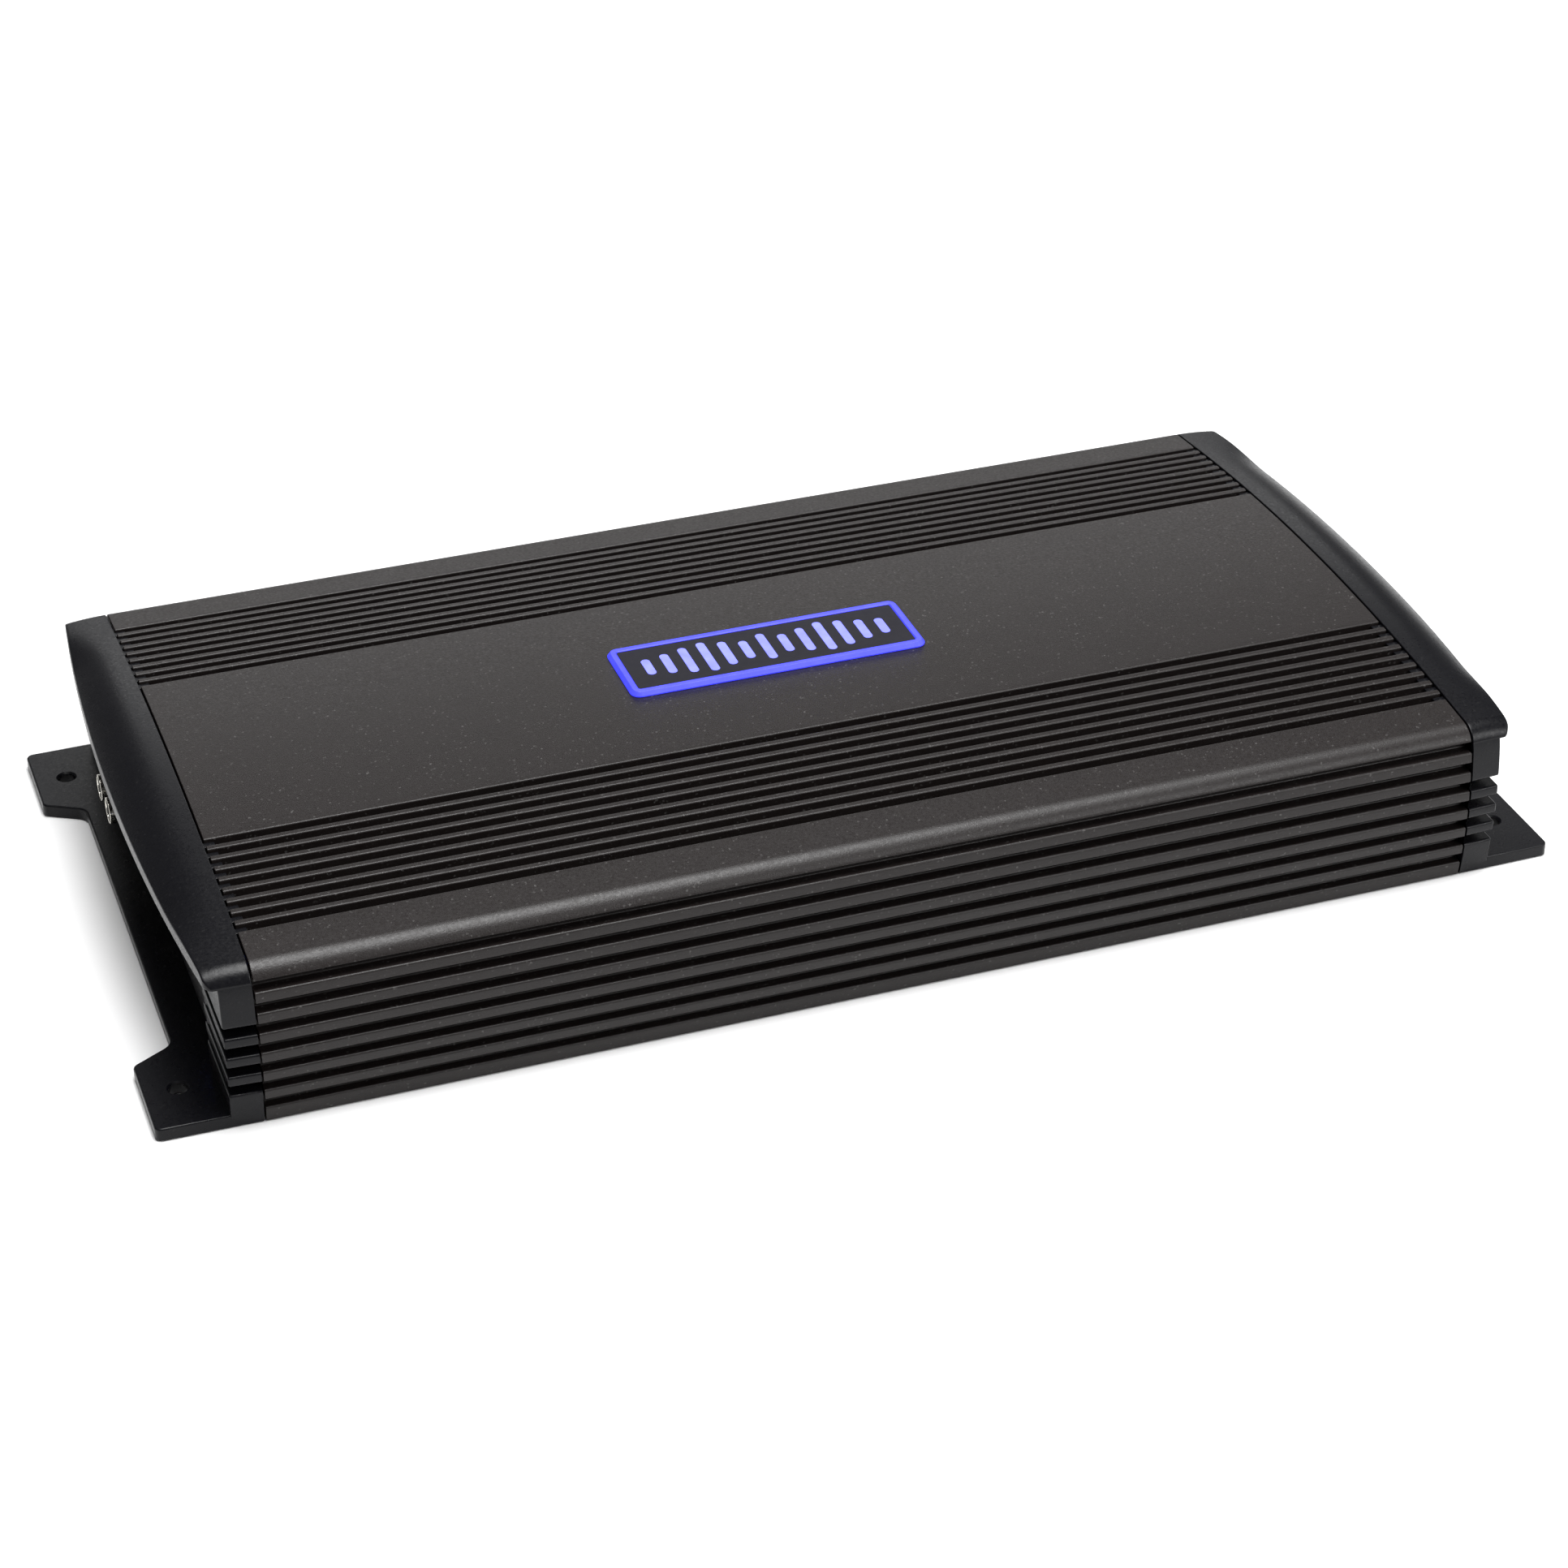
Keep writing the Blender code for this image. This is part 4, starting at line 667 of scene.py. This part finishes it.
def build_caps(mats):
    """Left cap as one casting, and the right one as its mirror image."""
    slabs, cores, walls, fingers, holes = [], [], [], [], []
    seam = -SEAM_X - SEAM_GAP
    for y_sign in (-1.0, 1.0):
        slabs += [corner_slab(y_sign, BLOCK_BOTTOM_Z, VISOR_Z + SLAB_TUCK),
                  corner_slab(y_sign, BASE_BOTTOM_Z, BASE_TOP_Z)]
        slabs += [corner_slab(y_sign, top - RIB_THICK, top) for top in RIB_TOPS]
        core = sorted((y_sign * (SIDE_Y - CORE_INSET), y_sign * OPENING_HALF))
        cores.append(rounded_box("core", (-SEAM_X - CORE_THICK, seam - 0.05), core,
                                 (CORE_BOTTOM_Z, VISOR_Z + CORE_TUCK), 0.4))
        wall = sorted((y_sign * BAY_HALF, y_sign * (BAY_HALF + WALL_THICK)))
        walls.append(rounded_box("wall", (-SEAM_X - BLOCK_DEPTH + 0.4, seam - 0.1), wall,
                                 (WALL_BOTTOM_Z, VISOR_Z + WALL_TUCK), 0.6))
        for index in range(TOP_GROOVES):
            inner, outer = groove_walls(index)
            low = crown_z((inner + outer) / 2.0) - TOP_DEPTH + 0.3
            span = sorted((y_sign * (inner + FINGER_GAP), y_sign * (outer - FINGER_GAP)))
            fingers.append(rounded_box("finger", (-SEAM_X - FINGER_ROOT, -SEAM_X + FINGER_LENGTH), span,
                                       (low, crown_z(outer) - FINGER_DROP), 0.3))
        edge = TAB_HOLE_RADIUS + HOLE_EDGE
        holes.append(turned("hole", [(edge + 0.8, -1.0), (TAB_HOLE_RADIUS, HOLE_EDGE),
                                     (TAB_HOLE_RADIUS, FLANGE_THICK - HOLE_EDGE), (edge, FLANGE_THICK),
                                     (edge, FLANGE_THICK + 1.0)],
                            "Z", (-(SEAM_X + TAB_HOLE_X), y_sign * TAB_HOLE_Y), 40, closed=False))
    foot = sweep("foot", foot_outline(), "Z", rounded_ends(0.0, FLANGE_THICK, 0.6, 3))
    cap = boolean(build_hood(), [merged("slabs", slabs), merged("cores", cores), merged("walls", walls),
                                 merged("fingers", fingers), foot], "UNION")
    pocket = rounded_box("pocket", (-SEAM_X - POCKET_DEPTH, -SEAM_X + 2.0),
                         (-OPENING_HALF, OPENING_HALF), (VISOR_Z - 2.0, POCKET_TOP_Z), 2.0, 0.8)
    boolean(cap, [pocket, merged("holes", holes)], "DIFFERENCE")
    cap.name = "left_cap"
    other = bpy.data.objects.new("right_cap", cap.data.copy())
    bpy.context.scene.collection.objects.link(other)
    other.data.transform(Matrix.Scale(-1.0, 4, (1.0, 0.0, 0.0)))
    other.data.flip_normals()
    piece(cap, mats["casting"], stands_for=("left_end_cap",))
    piece(other, mats["casting"], stands_for=("right_end_cap",))


# ---- badge -------------------------------------------------------------------------------
BADGE_BORDER = 2.7
BADGE_CORNER = 3.2
BAR_HEIGHTS = (9.5, 12.0, 15.5, 18.0, 14.5, 11.0, 16.0, 11.0, 14.5, 18.0, 15.5, 12.0, 9.5)
BAR_PITCH = 6.3
BAR_HALF_WIDTH = 1.4


def rectangle(half_x, half_y, radius):
    return filleted([(half_x, half_y, radius), (-half_x, half_y, radius), (-half_x, -half_y, radius),
                     (half_x, -half_y, radius)], 6)


def build_badge(mats):
    """Lit frame with a sloped outer edge round a dark insert that carries a row of bars."""
    half_x, half_y = badge_high.x, badge_high.y
    crest = badge_high.z
    outline = rectangle(half_x, half_y, BADGE_CORNER)
    opening = rectangle(half_x - BADGE_BORDER, half_y - BADGE_BORDER, 0.9)
    # each ring of the frame's section: outline, how far it is moved in, height
    rings = [(outline, 0.0, TOP_Z + 0.02), (outline, 0.0, TOP_Z + 0.35), (outline, 0.35, TOP_Z + 0.8),
             (outline, 0.8, crest - 0.1), (outline, 0.95, crest), (opening, -0.25, crest),
             (opening, 0.0, crest - 0.2), (opening, 0.0, TOP_Z - 0.3), (opening, -1.2, TOP_Z - 0.3)]
    verts, size = [], len(outline)
    for loop, step, z in rings:
        verts += [(a, b, z) for a, b in inset(loop, step)]
    faces = []
    for r in range(len(rings)):
        s = (r + 1) % len(rings)
        for i in range(size):
            j = (i + 1) % size
            faces.append((r * size + i, r * size + j, s * size + j, s * size + i))
    ring = mesh_object("badge_frame", verts, faces)
    piece(ring, mats["light_frame"], stands_for=("badge_light_frame",))
    insert_top = node_mm("badge_insert")[1].z
    border = BADGE_BORDER + 0.06
    film = sweep("badge_film", rectangle(half_x - border, half_y - border, 0.8), "Z",
                 rounded_ends(TOP_Z - 0.25, insert_top, 0.15, 2))
    piece(film, mats["insert"], stands_for=("badge_insert",))
    for i, height in enumerate(BAR_HEIGHTS):
        x = (i - (len(BAR_HEIGHTS) - 1) / 2.0) * BAR_PITCH
        outline = [(a + x, b)
                   for a, b in rectangle(BAR_HALF_WIDTH, height / 2.0, BAR_HALF_WIDTH - 0.05)]
        bar = sweep("badge_bar_%d" % (i + 1), outline, "Z",
                    rounded_ends(insert_top - 0.05, insert_top + 0.12, 0.08, 2))
        piece(bar, mats["motif"])


# ---- left end ----------------------------------------------------------------------------
KNOB_FLUTE = 0.035                      # depth, as a share of the radius
TICK_COUNT = 11
TICK_RADIUS = 4.3
TICK_HALF_WIDTH = 0.12
LONG_TICKS = (0, 5, 10)
CONTACT_PITCH = 1.6


def middle(node):
    low, high = node_mm(node)
    return (low + high) / 2.0


CONTROL_Z = middle("level_knob").z      # height of the row of controls


def build_sleeves(mats):
    """Plated sleeves with a thin rolled rim, each lined with a dark insulating ring."""
    for name in ("rca_sleeve_left", "rca_sleeve_right"):
        low, high = node_mm(name)
        centre = (middle(name).y, middle(name).z)
        radius = (high.y - low.y) / 2.0
        bore = radius - 0.7
        tip = low.x
        lip = radius - 0.42
        profile = [(bore, high.x), (bore, tip + 1.6), (lip, tip + 1.3), (lip, tip + 0.2),
                   (lip + 0.06, tip + 0.06), (lip + 0.16, tip), (radius - 0.16, tip),
                   (radius - 0.05, tip + 0.07), (radius, tip + 0.22), (radius, high.x)]
        piece(turned(name + "_barrel", profile, "X", centre, 72), mats["nickel"],
              stands_for=(name,))
        liner = turned(name + "_liner", [(3.14, tip + 0.5), (3.3, tip + 0.35), (lip - 0.06, tip + 0.35),
                                         (lip - 0.06, tip + 1.2), (3.14, tip + 1.2)], "X", centre, 72)
        piece(liner, mats["plastic"])


def build_knobs(mats):
    """Fluted adjusters with a slotted face and a pointer groove, in a ring of printed ticks."""
    face = node_mm("control_panel")[0].x
    for name in ("level", "subsonic", "low_pass", "bass_boost"):
        node = name + "_knob"
        low, high = node_mm(node)
        y, z = middle(node).y, middle(node).z
        centre = (y, z)
        radius = (high.y - low.y) / 2.0
        tip = low.x
        shaft = turned(node + "_turned", [(radius - 0.35, tip), (radius - 0.1, tip + 0.1),
                                          (radius, tip + 0.35), (radius, high.x - 0.3),
                                          (radius - 0.3, high.x)],
                       "X", centre, 48, closed=False, flute=KNOB_FLUTE)
        slot = rounded_box("slot", (tip - 0.5, tip + 1.2), (y - 0.5, y + 0.5), (z - 2.2, z + 2.2), 0.2)
        mark = rounded_box("mark", (tip - 0.5, tip + 0.18), (y - 0.2, y + 0.2), (z + 2.3, z + 4.0), 0.1)
        boolean(shaft, [slot, mark], "DIFFERENCE")
        piece(shaft, mats["knob"], body=node + "_body", stands_for=(node,))
        for k in range(TICK_COUNT):
            angle = math.radians(-150.0 + 30.0 * k)
            across, up = math.sin(angle), math.cos(angle)
            end = TICK_RADIUS + (0.9 if k in LONG_TICKS else 0.5)
            corners = [(TICK_RADIUS, -TICK_HALF_WIDTH), (end, -TICK_HALF_WIDTH), (end, TICK_HALF_WIDTH),
                       (TICK_RADIUS, TICK_HALF_WIDTH)]
            outline = [(y + r * across + t * up, z + r * up - t * across) for r, t in corners]
            tick = sweep("%s_tick_%d" % (name, k + 1), outline, "X",
                         [(face + 0.01, 0.0), (face - 0.03, 0.0)])
            piece(tick, mats["print"])


def build_lenses(mats):
    """Domed lamps."""
    for name, mat in (("power_led", "led_blue"), ("protect_led", "led_red")):
        low, high = node_mm(name)
        centre = (middle(name).y, CONTROL_Z)
        radius = (high.y - low.y) / 2.0
        tip = low.x
        dome = [(0.25, tip), (0.8, tip + 0.1), (1.2, tip + 0.4), (radius, tip + 1.0),
                (radius, tip + 8.0)]
        lens = turned(name + "_lens", dome, "X", centre, 32, closed=False)
        piece(lens, mats[mat], stands_for=(name,))


def build_socket_contacts(mats):
    """Sprung contact wires inside the remote socket."""
    mouth = node_mm("remote_port")[0].x
    y, z = middle("remote_port").y, CONTROL_Z
    for k in range(4):
        place = y + (k - 1.5) * CONTACT_PITCH
        path = [(mouth + 1.2, z + 3.1), (mouth + 2.0, z + 2.6), (mouth + 8.5, z + 0.4),
                (mouth + 9.6, z + 0.9)]
        under = [(a, b - 0.35) for a, b in reversed(path)]
        wire = sweep("remote_contact_%d" % (k + 1), path + under, "Y",
                     [(place - 0.2, 0.0), (place + 0.2, 0.0)])
        piece(wire, mats["gold"])


def build_slider(mats):
    """Switch slider with a ribbed grip."""
    node = "phase_switch_slider"
    low, high = node_mm(node)
    lever = rounded_box("phase_slider", (low.x, high.x), (low.y, high.y), (low.z, high.z), 0.25)
    cuts = [rounded_box("rib_cut", (low.x - 0.5, low.x + 0.35), (low.y - 1.0, high.y + 1.0),
                        (low.z + 0.55 + 0.75 * k, low.z + 0.9 + 0.75 * k), 0.1) for k in range(3)]
    boolean(lever, [merged("rib_cuts", cuts)], "DIFFERENCE")
    piece(lever, mats["knob"], body="phase_switch_slider_body", stands_for=(node,))


# ---- right end ---------------------------------------------------------------------------
THREAD_TURNS = 9
WIRE_HOLE_Z = 14.5
COLLAR_BORE = 4.1                       # radii of a wire collar, then where it starts and ends
COLLAR_RADIUS = 4.5
COLLAR_START = 0.9
COLLAR_END = 16.0
BLADE_OFFSET = 3.6
FUSE_SEAT = 2.7                         # depth of a fuse body in its holder


def build_set_screws(mats):
    """Chamfered grub screws with a hexagon socket, and a plated collar for each wire."""
    tip = node_mm("power_terminal_block")[1].x
    for name in ("battery", "remote", "ground", "speaker_plus", "speaker_minus"):
        node = name + "_set_screw"
        low, high = node_mm(node)
        x, y = middle(node).x, middle(node).y
        radius = (high.x - low.x) / 2.0
        profile = [(radius - 0.5, low.z)]
        for k in range(THREAD_TURNS):
            z = low.z + 0.5 + (high.z - low.z - 1.2) * k / THREAD_TURNS
            profile += [(radius - 0.25, z), (radius, z + 0.25)]
        profile += [(radius, high.z - 0.4), (radius - 0.4, high.z)]
        screw = turned(node + "_thread", profile, "Z", (x, y), 40, closed=False)
        socket = turned("socket", [(1.55, high.z - 2.6), (1.55, high.z - 0.25), (1.85, high.z + 0.2)],
                        "Z", (x, y), 6, closed=False)
        boolean(screw, [socket], "DIFFERENCE")
        piece(screw, mats["set_screw"], body=node + "_body", stands_for=(node,))
        collar = [(COLLAR_BORE, tip - COLLAR_START), (COLLAR_RADIUS, tip - COLLAR_START),
                  (COLLAR_RADIUS, tip - COLLAR_END), (COLLAR_BORE, tip - COLLAR_END)]
        ring = turned(name + "_wire_collar", collar, "X", (y, WIRE_HOLE_Z), 48)
        piece(ring, mats["nickel"])


def build_fuses(mats):
    """Blade fuses: a waisted translucent body with metal blades."""
    root = node_mm("fuse_holder")[1].x - FUSE_SEAT
    for name in ("fuse_a", "fuse_b"):
        low, high = node_mm(name)
        y, z = middle(name).y, middle(name).z
        half = (high.y - low.y) / 2.0
        shell = rounded_box(name + "_shell", (root, high.x), (low.y, high.y), (low.z, high.z), 0.6)
        cuts = [rounded_box("waist", (root - 1.0, high.x - 1.7), span, (z - 4.0, z + 4.0), 0.3)
                for span in ((y - half - 1.0, y - half + 0.6), (y + half - 0.6, y + half + 1.0))]
        blades = ((y - BLADE_OFFSET, "front"), (y + BLADE_OFFSET, "back"))
        cuts += [rounded_box("eye", (high.x - 1.2, high.x + 1.0), (place - 0.9, place + 0.9),
                             (z - 0.8, z + 0.8), 0.3) for place, _ in blades]
        boolean(shell, [merged("cuts", cuts)], "DIFFERENCE")
        piece(shell, mats["fuse"], body=name + "_body", stands_for=(name,))
        for place, tag in blades:
            blade = rounded_box("%s_blade_%s" % (name, tag), (low.x, root + 0.5),
                                (place - 1.4, place + 1.4), (z - 0.45, z + 0.45), 0.2, 0.12)
            piece(blade, mats["nickel"], body=name + "_body")


# ---- inside and fasteners ----------------------------------------------------------------
COIL_BORE = 0.47                        # share of the coil's outer radius
COIL_ROUND = 4.0
COIL_FLUTE = 0.02
PANEL_HEAD = 1.75                       # heights of the two kinds of screw head
PLATE_HEAD = 1.25


def build_power_stage(mats):
    """Wound toroids, and capacitors with a crimped rim and a scored vent."""
    for name in ("power_toroid_a", "power_toroid_b", "output_choke"):
        low, high = node_mm(name)
        radius = (high.x - low.x) / 2.0
        inner = COIL_BORE * radius
        section = filleted([(inner, low.z, COIL_ROUND), (radius, low.z, COIL_ROUND),
                            (radius, high.z, COIL_ROUND), (inner, high.z, COIL_ROUND)], 5)
        coil = turned(name + "_windings", section, "Z", (middle(name).x, middle(name).y), 120,
                      flute=COIL_FLUTE)
        piece(coil, mats["copper"], stands_for=(name,))
    for name in ("input_capacitor_a", "input_capacitor_b", "rail_capacitor_a", "rail_capacitor_b"):
        low, high = node_mm(name)
        x, y, top = middle(name).x, middle(name).y, high.z
        r = (high.x - low.x) / 2.0
        profile = [(r - 1.0, low.z), (r, low.z + 1.0), (r, top - 3.2), (r - 0.6, top - 2.7),
                   (r - 0.6, top - 2.1), (r, top - 1.6), (r, top - 0.5), (r - 0.5, top),
                   (r - 1.6, top), (r - 1.9, top - 0.4)]
        can = turned(name + "_can", profile, "Z", (x, y), 64, closed=False)
        scores = [rounded_box("score", (x - a, x + a), (y - b, y + b), (top - 0.65, top + 1.0), 0.15)
                  for a, b in ((0.65 * r, 0.3), (0.3, 0.65 * r))]
        boolean(can, scores, "DIFFERENCE")
        piece(can, mats["sleeve"], stands_for=(name,))


def build_screws(mats):
    """Domed screws with a hexagon socket for the panels and the bottom plate."""
    for name in frame["nodes"]:
        if not name.startswith(("panel_screw", "bottom_screw")):
            continue
        low, high = node_mm(name)
        mid = middle(name)
        axis, centre, tip, root, head = "Z", (mid.x, mid.y), low.z, high.z, PLATE_HEAD
        if name.startswith("panel"):
            axis, centre, head = "X", (mid.y, mid.z), PANEL_HEAD
            tip, root = (low.x, high.x) if "left" in name else (high.x, low.x)
        out = math.copysign(1.0, tip - root)
        seat = tip - out * head
        profile = [(0.6, root), (1.1, root + out * 0.4), (1.15, seat), (2.6, seat),
                   (2.7, seat + out * 0.25), (2.6, tip - out * 0.5), (2.1, tip - out * 0.12),
                   (1.5, tip)]
        screw = turned(name + "_domed", profile, axis, centre, 40, closed=False)
        hexagon = [(1.1, tip - out * 0.7), (1.1, tip - out * 0.1), (1.35, tip + out * 0.2)]
        socket = turned("socket", hexagon, axis, centre, 6, closed=False)
        boolean(screw, [socket], "DIFFERENCE")
        piece(screw, mats["screw"], stands_for=(name,))


# ---- carried-over CAD nodes --------------------------------------------------------------
def carry_over(mats):
    """Give each CAD node that still shows its material, softened edges and smooth shading."""
    slots = {row["node"]: row["material_slot"] for row in frame["record"]["subparts"]}
    for name, obj in frame["nodes"].items():
        if obj.hide_render:
            continue
        obj.data.materials.clear()
        obj.data.materials.append(mats[slots[name]])
        weld = obj.modifiers.new("weld", "WELD")
        weld.merge_threshold = 1e-6
        edge = obj.modifiers.new("edge", "BEVEL")
        edge.width = 0.15 * MM
        edge.segments = 2
        edge.limit_method = "ANGLE"
        edge.angle_limit = math.radians(40.0)
        shade = obj.modifiers.new("weighted_normals", "WEIGHTED_NORMAL")
        shade.keep_sharp = True


# ---- studio ------------------------------------------------------------------------------
CAMERA_PLACE = (-0.32127, -0.96702, 0.62679)
CAMERA_YAW = math.radians(-18.648)
CAMERA_PITCH = math.radians(31.213)
CAMERA_ROLL = math.radians(-0.827)
LENS = 87.33
FLOOR_HALF = 6000.0
FLOOR_Z = -0.05
WORLD_STRENGTH = 0.14
# name, place, target, size (all in metres) and power in watts
LIGHTS = (("overhead", (0.15, -0.1, 2.2), (0.0, 0.0, 0.0), (1.6, 1.2), 86.0),
          ("back", (0.7, 2.5, 1.1), (0.0, 0.0, 0.03), (2.0, 0.7), 8.0),
          ("right", (2.2, -0.3, 1.0), (0.0, 0.0, 0.03), (1.0, 1.0), 10.0),
          ("front", (1.3, -1.8, 1.3), (0.1, -0.1, 0.03), (1.2, 0.8), 26.0))


def build_camera():
    back = Vector((math.sin(CAMERA_YAW) * math.cos(CAMERA_PITCH),
                   -math.cos(CAMERA_YAW) * math.cos(CAMERA_PITCH), math.sin(CAMERA_PITCH)))
    right = (-back).cross(Vector((0.0, 0.0, 1.0))).normalized()
    up = right.cross(-back)
    level_right = right * math.cos(CAMERA_ROLL) + up * math.sin(CAMERA_ROLL)
    level_up = up * math.cos(CAMERA_ROLL) - right * math.sin(CAMERA_ROLL)
    data = bpy.data.cameras.new("camera")
    data.lens = LENS
    data.sensor_width = 36.0
    data.clip_end = 50.0
    camera = bpy.data.objects.new("camera", data)
    bpy.context.scene.collection.objects.link(camera)
    turn = Matrix((level_right, level_up, back)).transposed().to_4x4()
    camera.matrix_world = Matrix.Translation(Vector(CAMERA_PLACE)) @ turn
    bpy.context.scene.camera = camera


def area_light(name, place, target, size, power):
    data = bpy.data.lights.new(name, "AREA")
    data.shape = "RECTANGLE"
    data.size, data.size_y = size
    data.energy = power
    light = bpy.data.objects.new(name, data)
    bpy.context.scene.collection.objects.link(light)
    aim = Vector(target) - Vector(place)
    light.location = place
    light.rotation_euler = aim.to_track_quat("-Z", "Y").to_euler()


def build_studio():
    world = bpy.data.worlds.new("studio")
    world.use_nodes = True
    background = world.node_tree.nodes["Background"]
    background.inputs["Color"].default_value = (1.0, 1.0, 1.0, 1.0)
    background.inputs["Strength"].default_value = WORLD_STRENGTH
    bpy.context.scene.world = world
    bpy.context.scene.view_settings.view_transform = "Standard"
    corners = ((-1.0, -1.0), (1.0, -1.0), (1.0, 1.0), (-1.0, 1.0))
    floor = mesh_object("floor", [(a * FLOOR_HALF, b * FLOOR_HALF, FLOOR_Z) for a, b in corners],
                        [(0, 1, 2, 3)])
    paper = Surface("white_paper")
    paper.colour(paper.tint(paper.noise(40.0, 3.0), (0.86, 0.86, 0.86), (0.88, 0.88, 0.88)))
    paper.roughness(paper.spread(paper.noise(3.0, 2.0), 0.3, 0.7, 0.6, 0.7))
    floor.data.materials.append(paper.material)
    for light in LIGHTS:
        area_light(*light)


def main():
    mats = make_materials()
    build_camera()
    build_studio()
    build_heatsink(mats)
    build_caps(mats)
    build_badge(mats)
    build_sleeves(mats)
    build_knobs(mats)
    build_lenses(mats)
    build_socket_contacts(mats)
    build_slider(mats)
    build_set_screws(mats)
    build_fuses(mats)
    build_power_stage(mats)
    build_screws(mats)
    carry_over(mats)


main()
